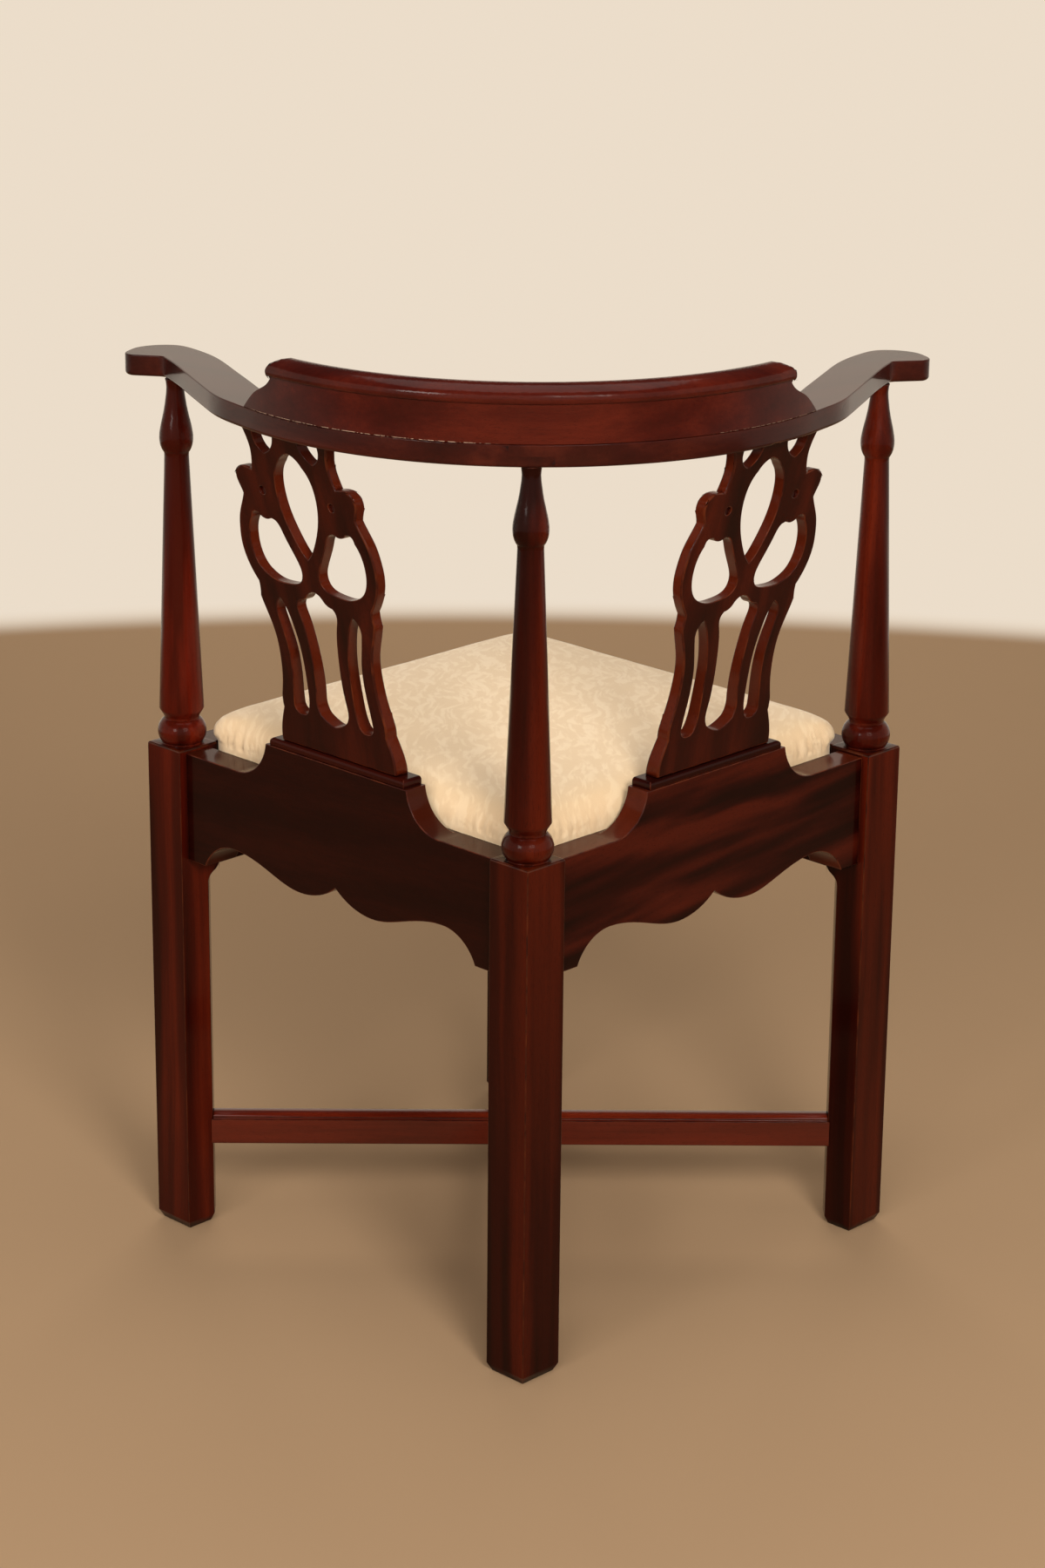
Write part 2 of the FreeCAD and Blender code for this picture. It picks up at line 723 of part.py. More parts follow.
def crown(inset):
    """The stuffed top: side walls that draw in as they rise, and a low dome."""
    height = pad_crown - inset
    wires = []
    stretch = seat_half / 198.0
    for share, step, rounding in crown_steps:
        half = seat_half - inset - step * stretch
        radius = min(seat_corner_radius - inset + rounding * stretch, half * 0.8)
        wires.append(rounded_square(half, radius, pad_bottom + share * height).OuterWire)
    return Part.makeLoft(wires, True, True)


def seat_frame_rails(tacks):
    """Four boards, half-lapped at the corners and rounded there to clear the legs."""
    outer = seat_half - cover_thickness
    inner = outer - seat_frame_width
    middle = frame_bottom + seat_frame_thickness / 2
    outline = seat_prism(cover_thickness, frame_bottom, frame_top)
    for side, turn in rail_turns.items():
        board = box((-outer, inner, frame_bottom), (outer, outer, frame_top))
        lap_low, lap_high = (middle, frame_top) if side in ("back_left", "front_right") else (frame_bottom, middle)
        laps = [box((sign * (outer + inner) / 2 - seat_frame_width / 2, inner, lap_low),
                    (sign * (outer + inner) / 2 + seat_frame_width / 2, outer, lap_high))
                for sign in (-1, 1)]
        board = turned(board.cut(laps), turn).common(outline)
        save("seat_frame_" + side, board.cut(tacks))


def webbing():
    reach = seat_half - cover_thickness - seat_frame_width / 4
    pitch = 2 * (reach - seat_frame_width) / webbing_count
    straps = []
    for number in range(webbing_count):
        centre = (number - (webbing_count - 1) / 2) * pitch
        straps.append(box((centre - webbing_width / 2, -reach, frame_top),
                          (centre + webbing_width / 2, reach, frame_top + webbing_thickness)))
    along = [turned(strap, 45) for strap in straps]
    across = []
    for strap in straps:
        other = turned(strap, -45)
        other.translate(Vector(0, 0, webbing_thickness))
        across.append(other)
    save("seat_webbing_along", *along)
    save("seat_webbing_across", *across)


def tack_set():
    line = seat_half - cover_thickness - seat_frame_width * 0.85
    span = line - seat_frame_width / 2
    head_bottom = frame_bottom - dust_cover_thickness - tack_head_height
    found = []
    for turn in rail_turns.values():
        for number in range(tacks_per_side):
            x = span * (2 * number / (tacks_per_side - 1) - 1)
            head = Part.makeCone(tack_head_radius * 0.6, tack_head_radius, tack_head_height,
                                 Vector(x, line, head_bottom), up)
            shank = Part.makeCylinder(tack_shank_radius, tack_shank_length,
                                      Vector(x, line, head_bottom + tack_head_height / 2), up)
            found.append(turned(head.fuse(shank).removeSplitter(), turn))
    return found


def seat():
    tacks = tack_set()
    seat_frame_rails(tacks)
    webbing()
    burlap_half = seat_half - cover_thickness - seat_frame_width / 5
    low = (-burlap_half, -burlap_half, burlap_bottom)
    high = (burlap_half, burlap_half, pad_bottom)
    save("seat_burlap", turned(box(low, high), 45))
    stuffing = crown(cover_thickness)
    save("seat_pad", stuffing)
    shell = seat_prism(0, seat_bottom, pad_bottom).fuse(crown(0))
    inside = seat_prism(cover_thickness, frame_bottom, pad_bottom).fuse(stuffing)
    opening_half = seat_half - cover_turn_under
    opening = turned(box((-opening_half, -opening_half, seat_bottom - 1),
                         (opening_half, opening_half, frame_bottom + 1)), 45)
    save("seat_cover", shell.cut([inside, opening]))
    dust_half = opening_half - seat_gap
    dust = turned(box((-dust_half, -dust_half, frame_bottom - dust_cover_thickness),
                      (dust_half, dust_half, frame_bottom)), 45)
    save("seat_dust_cover", dust.cut(tacks))
    save("seat_tacks", *tacks)


def main():
    os.makedirs("parts", exist_ok=True)
    screws = all_screws()
    dowels = crest_dowels()
    legs()
    rails_and_shoes(screws)
    shoes()
    splats()
    arms(dowels)
    crest(dowels)
    save("crest_dowels", *dowels)
    stretchers()
    corner_blocks(screws)
    seat()


main()
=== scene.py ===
import bmesh
import bpy
import math

from mathutils import Matrix, Vector


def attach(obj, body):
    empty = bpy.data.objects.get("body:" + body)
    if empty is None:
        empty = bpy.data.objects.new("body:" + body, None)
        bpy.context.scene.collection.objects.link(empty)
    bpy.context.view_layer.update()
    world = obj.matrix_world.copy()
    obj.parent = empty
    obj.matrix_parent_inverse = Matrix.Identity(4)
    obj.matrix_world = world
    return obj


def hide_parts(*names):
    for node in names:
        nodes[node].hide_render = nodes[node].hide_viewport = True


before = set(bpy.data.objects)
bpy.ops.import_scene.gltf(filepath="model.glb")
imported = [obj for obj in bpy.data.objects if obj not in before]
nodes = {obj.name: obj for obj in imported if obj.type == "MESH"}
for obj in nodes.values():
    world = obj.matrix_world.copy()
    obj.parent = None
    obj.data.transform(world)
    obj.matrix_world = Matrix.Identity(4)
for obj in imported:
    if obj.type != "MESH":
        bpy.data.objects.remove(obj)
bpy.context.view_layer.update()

# Corner chair seen from behind: the camera looks towards -Y, at the rear post.
# Metres, +Z up, origin on the floor under the middle of the seat.


# Camera, fitted to the photograph: angles in radians, lens and sensor in millimetres

CAMERA_PLACE = Vector((0.0372, 3.1325, 1.472))
CAMERA_PITCH = 0.3249
CAMERA_YAW = -0.0115
CAMERA_ROLL = 0.0097
CAMERA_LENS = 86.656
CAMERA_REACH = 50
SENSOR_HEIGHT = 36.0


def add_camera():
    forward = Vector((math.sin(CAMERA_YAW), -math.cos(CAMERA_YAW), 0))
    right = Vector((-math.cos(CAMERA_YAW), -math.sin(CAMERA_YAW), 0))
    look = forward * math.cos(CAMERA_PITCH) - Vector((0, 0, math.sin(CAMERA_PITCH)))
    up = forward * math.sin(CAMERA_PITCH) + Vector((0, 0, math.cos(CAMERA_PITCH)))
    rolled_right = right * math.cos(CAMERA_ROLL) + up * math.sin(CAMERA_ROLL)
    rolled_up = up * math.cos(CAMERA_ROLL) - right * math.sin(CAMERA_ROLL)
    data = bpy.data.cameras.new("camera")
    data.sensor_fit = "VERTICAL"
    data.sensor_height = SENSOR_HEIGHT
    data.lens = CAMERA_LENS
    data.clip_end = CAMERA_REACH
    camera = bpy.data.objects.new("camera", data)
    bpy.context.collection.objects.link(camera)
    turn = Matrix((rolled_right, rolled_up, -look)).transposed().to_4x4()
    camera.matrix_world = Matrix.Translation(CAMERA_PLACE) @ turn
    bpy.context.scene.camera = camera


# Node trees

class Net:
    """A material whose node tree is built by calls."""

    def __init__(self, name):
        self.material = bpy.data.materials.new(name)
        self.material.use_nodes = True
        self.tree = self.material.node_tree
        self.tree.nodes.clear()

    def add(self, kind, inputs=None, **settings):
        node = self.tree.nodes.new("ShaderNode" + kind)
        for key, value in settings.items():
            setattr(node, key, value)
        for key, value in (inputs or {}).items():
            socket = node.inputs[key]
            if isinstance(value, bpy.types.NodeSocket):
                self.tree.links.new(value, socket)
            else:
                socket.default_value = value
        return node

    def math(self, operation, *values, clamp=False):
        inputs = dict(enumerate(values))
        return self.add("Math", inputs, operation=operation, use_clamp=clamp).outputs[0]

    def mix(self, factor, first, second, blend="MIX"):
        node = self.add("Mix", {"Factor": factor}, data_type="RGBA", blend_type=blend)
        for socket, value in ((node.inputs[6], first), (node.inputs[7], second)):
            if isinstance(value, bpy.types.NodeSocket):
                self.tree.links.new(value, socket)
            else:
                socket.default_value = value
        return node.outputs[2]

    def ramp(self, factor, *stops):
        node = self.add("ValToRGB", {"Fac": factor})
        elements = node.color_ramp.elements
        while len(elements) < len(stops):
            elements.new(0.5)
        for element, (position, colour) in zip(elements, stops):
            element.position = position
            element.color = colour if len(colour) == 4 else (*colour, 1)
        return node.outputs["Color"]

    def noise(self, vector, scale, detail=2.0, roughness=0.5, distortion=0.0):
        node = self.add("TexNoise", {"Vector": vector, "Scale": scale, "Detail": detail,
                                     "Roughness": roughness, "Distortion": distortion})
        return node.outputs["Fac"]

    def stretched(self, vector, scale, turn=(0, 0, 0), shift=(0, 0, 0)):
        node = self.add("Mapping", {"Vector": vector, "Scale": scale, "Rotation": turn,
                                    "Location": shift})
        return node.outputs["Vector"]

    def finish(self, shader):
        self.add("OutputMaterial", {"Surface": shader})
        return self.material


def flat(angle):
    """A turn about the upright axis, given in degrees."""
    return (0, 0, math.radians(angle))


# Wood. Every piece has its own grain direction: turn lays the grain on X.

ALONG_Z = (0, math.radians(90), 0)
BLACK = (0, 0, 0)
WHITE = (1, 1, 1)
RAIL_TONE = (0.022, 0.0019, 0.0010)
LEG_TONE = (0.056, 0.0042, 0.0014)
SPLAT_TONE = (0.025, 0.0019, 0.0008)
ARM_TONE = (0.030, 0.0036, 0.0022)
CREST_TONE = (0.042, 0.0038, 0.0020)
STRETCHER_TONE = (0.092, 0.0085, 0.0030)
# Painted shade, with some grime: the tone that corners and joints between parts darken to
SHADE_AND_GRIME_TONE = (0.0030, 0.0012, 0.0008, 1)
COAT_ROUGHNESS = 0.13
COAT_IOR = 1.18
# Coat of the lighter rounded arrises, which stand for wear and a painted highlight
WEAR_AND_HIGHLIGHT_COAT_IOR = 1.25
ARM_COAT_IOR = 1.26
STRETCHER_COAT_IOR = 1.50

# How fine the figure is along the grain and across it, from slow waves to pores
SWAY_SCALE = (3, 9, 9)
CLOUD_SCALE = (5, 9, 9)
BAND_SCALE = (1.5, 52, 44)
STREAK_SCALE = (14, 420, 360)
PORE_SCALE = (150, 2300, 2100)

# Between these heights a leg's lower tone, partly painted shade under the seat, turns into the tone of its
# post
POST_TONE_FROM = 0.36
POST_TONE_TO = 0.56

# Chips along the crest's joint: each stretch is a share of the way across, and how much is chipped there
CHIP_HEIGHT = 0.7955
CHIP_HALF_WIDTH = 0.0003
CHIP_SCALE = (260, 260, 500)
CHIP_TONE = (0.42, 0.30, 0.23, 1)
CHIP_STRETCHES = ((0.0, 0.5), (0.2, 0.5), (0.22, 0), (0.55, 0), (0.60, 1), (0.93, 1), (0.95, 0))


def scaled(tone, factor, warm=1.0):
    return (tone[0] * factor, tone[1] * factor * warm, tone[2] * factor, 1)


def painted_edge_light(net, base, tone, board, edge, open_air):
    """The base with painted light: paler on the faces that don't look across the board, but not in the
    corners.
    """
    facing = net.math("ABSOLUTE", net.add("VectorMath", {
        0: net.add("TexCoord").outputs["Normal"], 1: board}, operation="DOT_PRODUCT").outputs["Value"])
    rim = net.add("MapRange", {"Value": facing, "From Min": 0.85, "From Max": 0.35},
                  interpolation_type="SMOOTHSTEP").outputs[0]
    rim = net.math("MULTIPLY", rim, net.ramp(open_air, (0.45, BLACK), (0.85, WHITE)))
    return net.mix(rim, base, net.mix(0.35, scaled(tone, edge, 1.7), base))


def chipped(net, base, place, axes, height):
    """The base with short pale chips along a joint at that height."""
    line = net.math("COMPARE", axes["Z"], height, CHIP_HALF_WIDTH)
    flecks = net.noise(net.stretched(place, CHIP_SCALE), 1.0, 3.0, 0.7)
    dashes = net.math("GREATER_THAN", flecks, 0.50)
    along = net.math("MULTIPLY_ADD", axes["X"], 2.0, 0.5)
    stretch = net.ramp(along, *((share, (amount, amount, amount)) for share, amount in CHIP_STRETCHES))
    return net.mix(net.math("MULTIPLY", net.math("MULTIPLY", line, dashes), stretch), base, CHIP_TONE)


def wood(name, tone, turn, shift, ribbon=1.0, slant=0.0, coat_ior=COAT_IOR, board=None, edge=2.6,
         clouding=0.5, shade_and_grime_reach=0.010, low=None, chips=None):
    """Satin mahogany: ribbon stripes, fine streaks and short pores along the grain, painted shade and grime
    in the corners.

    board is the direction across a flat board, whose edge faces get painted light, a paler tone for the light
    they catch, and edge is how pale they are. The corner reach is how far the painted shade and grime reach
    out of a corner. low is the tone of a leg below its post, against the post's: partly painted shade under
    the seat. chips is the height of a joint whose edge has lost its finish in places.
    """
    net = Net(name)
    place = net.add("TexCoord").outputs["Object"]
    piece = net.stretched(place, (1, 1, 1), turn, shift)
    if slant:
        piece = net.stretched(piece, (1, 1, 1), (0, math.radians(slant), math.radians(slant)))
    sway = net.noise(net.stretched(piece, SWAY_SCALE), 1.0, 2.0)
    swayed = net.add("VectorMath", {0: piece, 1: net.add("CombineXYZ", {
        "X": 0.0, "Y": net.math("MULTIPLY", sway, 0.02), "Z": net.math("MULTIPLY", sway, 0.014)
    }).outputs[0]}, operation="ADD").outputs[0]
    bands = net.noise(net.stretched(swayed, BAND_SCALE), 1.0, 2.0, 0.45)
    streaks = net.noise(net.stretched(swayed, STREAK_SCALE), 1.0, 3.0, 0.6)
    pores = net.noise(net.stretched(swayed, PORE_SCALE), 1.0, 1.0, 0.5)
    clouds = net.noise(net.stretched(piece, CLOUD_SCALE), 1.0, 2.0, 0.5)
    figure = net.math("MULTIPLY_ADD", net.math("SUBTRACT", bands, 0.5), 1.6 * ribbon, 0.40)
    figure = net.math("MULTIPLY_ADD", net.math("SUBTRACT", streaks, 0.5), 0.35, figure)
    figure = net.math("MULTIPLY_ADD", net.math("SUBTRACT", clouds, 0.5), clouding, figure, clamp=True)
    base = net.ramp(figure, (0.0, scaled(tone, 0.40)), (0.40, scaled(tone, 1.0)),
                    (1.0, scaled(tone, 2.8, 1.3)))
    axes = net.add("SeparateXYZ", {"Vector": place}).outputs
    # Painted shade under the seat, partly the leg's own tone: darker below the post
    if low:
        post = net.add("MapRange", {"Value": axes["Z"], "From Min": POST_TONE_FROM,
                                    "From Max": POST_TONE_TO}, interpolation_type="SMOOTHSTEP").outputs[0]
        base = net.mix(post, net.mix(1.0, base, (low, low, low, 1), "MULTIPLY"), base)
    open_air = net.add("AmbientOcclusion", {"Distance": shade_and_grime_reach}, samples=8).outputs["AO"]
    if board:
        # Painted light: the board's edge faces turn paler, as if lit
        base = painted_edge_light(net, base, tone, board, edge, open_air)
    pore_mask = net.ramp(pores, (0.30, WHITE), (0.40, BLACK))
    pored = net.mix(net.math("MULTIPLY", pore_mask, 0.5), base, scaled(tone, 0.3))
    # Painted shade and grime: darker where the occlusion finds a corner or a joint close by
    pored = net.mix(net.ramp(open_air, (0.30, (0.85, 0.85, 0.85)), (0.72, BLACK)), pored, SHADE_AND_GRIME_TONE)
    if chips:
        pored = chipped(net, pored, place, axes, chips)
    height = net.math("MULTIPLY_ADD", pore_mask, -0.5, net.math("MULTIPLY", streaks, 0.25))
    bump = net.add("Bump", {"Strength": 0.08, "Distance": 0.0004, "Height": height}).outputs[0]
    shader = net.add("BsdfPrincipled", {
        "Base Color": pored, "Roughness": net.math("MULTIPLY_ADD", clouds, 0.16, 0.36), "Normal": bump,
        "Specular IOR Level": 0.03, "Coat Weight": 1.0, "Coat Roughness": COAT_ROUGHNESS,
        "Coat IOR": coat_ior})
    return net.finish(shader.outputs[0])


def arris_wear_and_highlight(name, tone):
    """The rounded arrises of a piece: lighter in places, partly wear of the stain and partly a painted
    highlight.
    """
    net = Net(name)
    place = net.add("TexCoord").outputs["Object"]
    patches = net.noise(net.stretched(place, (70, 70, 40)), 1.0, 3.0, 0.6)
    wear_and_highlight = net.ramp(patches, (0.42, BLACK), (0.62, WHITE))
    base = net.mix(wear_and_highlight, scaled(tone, 1.2, 1.1), scaled(tone, 3.4, 2.0))
    shader = net.add("BsdfPrincipled", {
        "Base Color": base, "Roughness": net.math("MULTIPLY_ADD", wear_and_highlight, 0.1, 0.36),
        "Specular IOR Level": 0.1, "Coat Weight": 1.0, "Coat Roughness": COAT_ROUGHNESS,
        "Coat IOR": WEAR_AND_HIGHLIGHT_COAT_IOR})
    return net.finish(shader.outputs[0])


def plain_wood(name, turn, shift):
    """Pale secondary wood, unfinished."""
    net = Net(name)
    place = net.add("TexCoord").outputs["Object"]
    piece = net.stretched(place, (1, 1, 1), turn, shift)
    rings = net.noise(net.stretched(piece, (4, 60, 60)), 1.0, 3.0, 0.55, 0.4)
    fibres = net.noise(net.stretched(piece, (40, 900, 900)), 1.0, 2.0)
    figure = net.math("MULTIPLY_ADD", fibres, 0.3, net.math("MULTIPLY", rings, 0.75))
    base = net.ramp(figure, (0.25, (0.42, 0.28, 0.14)), (0.55, (0.56, 0.40, 0.22)), (0.8, (0.66, 0.50, 0.30)))
    bump = net.add("Bump", {"Strength": 0.2, "Distance": 0.0005, "Height": fibres}).outputs[0]
    shader = net.add("BsdfPrincipled", {"Base Color": base, "Roughness": 0.62, "Normal": bump})
    return net.finish(shader.outputs[0])


def steel(name):
    """Grey metal with fine scratches."""
    net = Net(name)
    place = net.add("TexCoord").outputs["Object"]
    scratch = net.noise(place, 900, 3.0)
    base = net.ramp(scratch, (0.3, (0.36, 0.35, 0.33)), (0.7, (0.52, 0.51, 0.48)))
    rough = net.math("MULTIPLY_ADD", scratch, 0.2, 0.28)
    shader = net.add("BsdfPrincipled", {"Base Color": base, "Roughness": rough, "Metallic": 1.0})
    return net.finish(shader.outputs[0])


# Two dark stripes on each strap of webbing: how far from its middle, how wide, and their tone
STRIPE_PLACE = 0.019
STRIPE_HALF_WIDTH = 0.0014
STRIPE_TONE = (0.10, 0.018, 0.012, 1)


def woven(name, warm, cool, pitch, turn=0.0, rough=0.85, depth=0.0006, stripe=None):
    """Plain weave cloth in two close colours.

    pitch is the distance between threads. stripe is the angle that striped straps are turned to.
    """
    net = Net(name)
    place = net.add("TexCoord").outputs["Object"]
    turned = net.stretched(place, (1, 1, 1), (0, 0, turn))
    axes = net.add("SeparateXYZ", {"Vector": turned}).outputs
    count = math.pi / pitch
    warp = net.math("ABSOLUTE", net.math("SINE", net.math("MULTIPLY", axes[0], count)))
    weft = net.math("ABSOLUTE", net.math("SINE", net.math("MULTIPLY", axes[1], count)))
    threads = net.math("MAXIMUM", warp, weft)
    uneven = net.noise(place, 160, 3.0)
    mixed = net.math("MULTIPLY_ADD", uneven, 0.6, net.math("MULTIPLY", threads, 0.4), clamp=True)
    base = net.ramp(mixed, (0.25, cool), (0.85, warm))
    if stripe is not None:
        straight = net.stretched(place, (1, 1, 1), flat(-stripe))
        across = net.add("SeparateXYZ", {"Vector": straight}).outputs[0]
        strap = net.math("FRACT", net.math("ADD", net.math("DIVIDE", across, WEB_PITCH), 8.0))
        from_middle = net.math("ABSOLUTE", net.math("SUBTRACT", strap, 0.5))
        line = net.math("COMPARE", from_middle, STRIPE_PLACE / WEB_PITCH, STRIPE_HALF_WIDTH / WEB_PITCH)
        base = net.mix(line, base, STRIPE_TONE)
    bump = net.add("Bump", {"Strength": 0.5, "Distance": depth, "Height": threads}).outputs[0]
    shader = net.add("BsdfPrincipled", {"Base Color": base, "Roughness": rough, "Normal": bump,
                                        "Sheen Weight": 0.15, "Sheen Roughness": 0.5})
    return net.finish(shader.outputs[0])


# Radians of the weave's waves to a metre
THREADS = 2600
LEAF_SCALE = (175, 52, 60)
DAMASK_LIGHT = (0.865, 0.680, 0.455, 1)
DAMASK_DARK = (0.785, 0.590, 0.375, 1)


def damask(name):
    """Cream cloth with a tone-on-tone pattern of short curved leaves, and a fine weave."""
    net = Net(name)
    place = net.add("TexCoord").outputs["Object"]
    bend = net.add("TexNoise", {"Vector": place, "Scale": 26.0, "Detail": 1.0}).outputs["Color"]
    bent = net.add("VectorMath", {0: net.add("VectorMath", {0: bend, "Scale": 0.030},
                                             operation="SCALE").outputs[0], 1: place},
                   operation="ADD").outputs[0]
    falling = net.noise(net.stretched(bent, LEAF_SCALE, flat(35)), 1.0, 2.0, 0.5)
    rising = net.noise(net.stretched(bent, LEAF_SCALE, flat(-40), (3, 5, 0)), 1.0, 2.0, 0.5)
    patches = net.ramp(net.noise(place, 34, 1.0), (0.44, BLACK), (0.56, WHITE))
    leaves = net.mix(patches, falling, rising)
    mask = net.ramp(leaves, (0.47, BLACK), (0.60, WHITE))
    streaks = net.noise(net.stretched(place, (60, 900, 60)), 1.0, 2.0, 0.6)
    axes = net.add("SeparateXYZ", {"Vector": place}).outputs
    thread = net.math("SINE", net.math("MULTIPLY", net.math("ADD", axes[0], axes[1]), THREADS))
    cross = net.math("SINE", net.math("MULTIPLY", net.math("SUBTRACT", axes[0], axes[1]), THREADS))
    weave = net.math("MULTIPLY", thread, cross)
    tone = net.math("MULTIPLY_ADD", mask, 0.8, -0.15)
    tone = net.math("MULTIPLY_ADD", streaks, 0.5, tone, clamp=True)
    base = net.mix(tone, DAMASK_DARK, DAMASK_LIGHT)
    rough = net.math("MULTIPLY_ADD", mask, -0.14, 0.66)
    height = net.math("MULTIPLY_ADD", weave, 0.12, net.math("MULTIPLY", mask, 0.3))
    bump = net.add("Bump", {"Strength": 0.35, "Distance": 0.0006, "Height": height}).outputs[0]
    shader = net.add("BsdfPrincipled", {"Base Color": base, "Roughness": rough, "Normal": bump,
                                        "Sheen Weight": 0.25, "Sheen Roughness": 0.4})
    return net.finish(shader.outputs[0])


# Wood pieces

def dress(node, material):
    """Gives a CAD node its material and leaves its shape alone."""
    target = nodes[node]
    for index in range(len(target.material_slots)):
        target.material_slots[index].link = "OBJECT"
        target.material_slots[index].material = material


# A loop of arrises counts as long from this share of the longest one's length
LONG_LOOP = 0.6


def arris_loops(work, arris, inner_weight):
    """Leaves the longest loops of arrises at full weight: the cutouts inside stay crisper."""
    loops = []
    left = {edge for edge in work.edges if edge[arris]}
    while left:
        loop, front = set(), [left.pop()]
        while front:
            edge = front.pop()
            loop.add(edge)
            for vertex in edge.verts:
                for other in vertex.link_edges:
                    if other in left:
                        left.discard(other)
                        front.append(other)
        loops.append(loop)
    lengths = [sum(edge.calc_length() for edge in loop) for loop in loops]
    for loop, length in zip(loops, lengths):
        if length < LONG_LOOP * max(lengths):
            for edge in loop:
                edge[arris] = inner_weight


CREST_END = 0.165
CREST_BEAD_FOOT = 0.828
CREST_SMALL_WEIGHT = 0.4


def bead_arrises(work, arris):
    """Full weight on the ends of the crest's bead alone, a small one on its other arrises."""
    for edge in work.edges:
        if edge[arris]:
            middle = (edge.verts[0].co + edge.verts[1].co) / 2
            on_end = abs(middle.x) > CREST_END and middle.z > CREST_BEAD_FOOT
            edge[arris] = 1.0 if on_end else CREST_SMALL_WEIGHT


ARM_BOTTOM = 0.7767
ARM_TOP = 0.7950
LAP_REACH = 0.05
LAP_MARGIN = 0.001
LAP_SLOPE = 1.5


def skip_lap(work, arris):
    """The arms' lap joint is flush: its own edges stay sharp."""
    for edge in work.edges:
        first, last = (vertex.co for vertex in edge.verts)
        middle, run = (first + last) / 2, last - first
        inside = ARM_BOTTOM + LAP_MARGIN < middle.z < ARM_TOP - LAP_MARGIN
        if abs(middle.x) < LAP_REACH and (inside or abs(run.y) > LAP_SLOPE * abs(run.x)):
            edge[arris] = 0.0


# Points this close are joined, faces this flat merge, and unrounded edges over the last angle stay sharp
WELD = 2e-6
FLAT_ANGLE = 0.02
SHARP_ANGLE = 32


def softened(node, material, body, width, segments=2, angle=35, weigh=None, wear_and_highlight=None):
    """A copy of a wood solid whose outer arrises are slightly rounded, as sanded wood is.

    weigh changes how strongly each arris is rounded, and the last argument is the material of the rounded
    parts, lighter for wear and for a painted highlight.
    """
    mesh = bpy.data.meshes.new(node + "_wood")
    work = bmesh.new()
    work.from_mesh(nodes[node].data)
    bmesh.ops.remove_doubles(work, verts=work.verts, dist=WELD)
    bmesh.ops.dissolve_limit(work, angle_limit=math.radians(FLAT_ANGLE), verts=work.verts, edges=work.edges)
    arris = work.edges.layers.float.new("bevel_weight_edge")
    for edge in work.edges:
        edge.smooth = True
        if edge.is_manifold and edge.is_convex and edge.calc_face_angle(0) > math.radians(angle):
            edge[arris] = 1.0
    if weigh:
        weigh(work, arris)
    for face in work.faces:
        face.smooth = True
        face.material_index = 0
    arris_weights = [edge[arris] for edge in work.edges]
    work.to_mesh(mesh)
    work.free()
    copy = bpy.data.objects.new(node + "_wood", mesh)
    bpy.context.collection.objects.link(copy)
    mesh.materials.append(material)
    rounding = copy.modifiers.new("arris", "BEVEL")
    rounding.limit_method = "WEIGHT"
    rounding.width = width
    rounding.segments = segments
    rounding.use_clamp_overlap = False
    if wear_and_highlight:
        mesh.materials.append(wear_and_highlight)
        rounding.material = 1
    rounding.miter_outer = "MITER_ARC"
    shading = copy.modifiers.new("shading", "WEIGHTED_NORMAL")
    shading.mode = "FACE_AREA"
    shading.keep_sharp = True
    mesh.set_sharp_from_angle(angle=math.radians(SHARP_ANGLE))
    for edge in mesh.edges:
        if arris_weights[edge.index]:
            edge.use_edge_sharp = False
    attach(copy, body)
    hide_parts(node)


RAIL_TURNS = {"back_left": -45, "back_right": 45, "front_left": -135, "front_right": 135}
RAIL_SHADES = {"back_left": 0.52, "back_right": 0.95, "front_left": 0.8, "front_right": 0.8}
RIBBONS = {"back_left": 0.35, "back_right": 2.4, "front_left": 1.2, "front_right": 0.9}
RAIL_SLANT = -4
ARM_TURNS = {"left": 40, "right": -40}

# Each leg's tone, and how dark it is below its post, which is partly painted shade under the seat
LEG_SHADES = {"rear": (0.48, 0.8), "left": (1.75, 0.42), "right": (0.8, 0.58), "front": (0.9, 0.62)}
# Tones of the lighter rounded arrises: wear and a painted highlight
WEAR_AND_HIGHLIGHT_TONES = {"leg": (LEG_TONE, 0.32), "rail": (RAIL_TONE, 1.2), "splat": (SPLAT_TONE, 1.0),
              "arm": (ARM_TONE, 0.9)}

# How wide the arrises are rounded
FINE_ARRIS = 0.0005
STRETCHER_ARRIS = 0.0006
FRAME_ARRIS = 0.0008
SPLAT_ARRIS = 0.0015
BEAD_ARRIS = 0.0020
SPLAT_INNER_WEIGHT = 0.5


def across_board(turn):
    """The direction across a board that stands along a rail turned by that many degrees."""
    return tuple(Matrix.Rotation(math.radians(turn), 3, "Z") @ Vector((0, 1, 0)))


def splat_arrises(work, arris):
    """Full weight on a splat's outline, a smaller one on its cutouts."""
    arris_loops(work, arris, SPLAT_INNER_WEIGHT)


def build_legs(wear_and_highlight):
    for number, (corner, (shade, low)) in enumerate(LEG_SHADES.items()):
        finish = wood("mahogany_leg_" + corner, scaled(LEG_TONE, shade), ALONG_Z,
                      (0.3 * number, 0.17 * number, 0.4), 1.5, low=low)
        softened("leg_" + corner, finish, "chair", FRAME_ARRIS, wear_and_highlight=wear_and_highlight["leg"])


def build_rails(wear_and_highlight):
    for number, (side, turn) in enumerate(RAIL_TURNS.items()):
        finish = wood("mahogany_rail_" + side, scaled(RAIL_TONE, RAIL_SHADES[side]), flat(-turn),
                      (0.5, 0.2 + 0.31 * number, 0.1 * number), RIBBONS[side], RAIL_SLANT,
                      board=across_board(turn), edge=4.5)
        softened("rail_" + side, finish, "chair", FRAME_ARRIS, wear_and_highlight=wear_and_highlight["rail"])


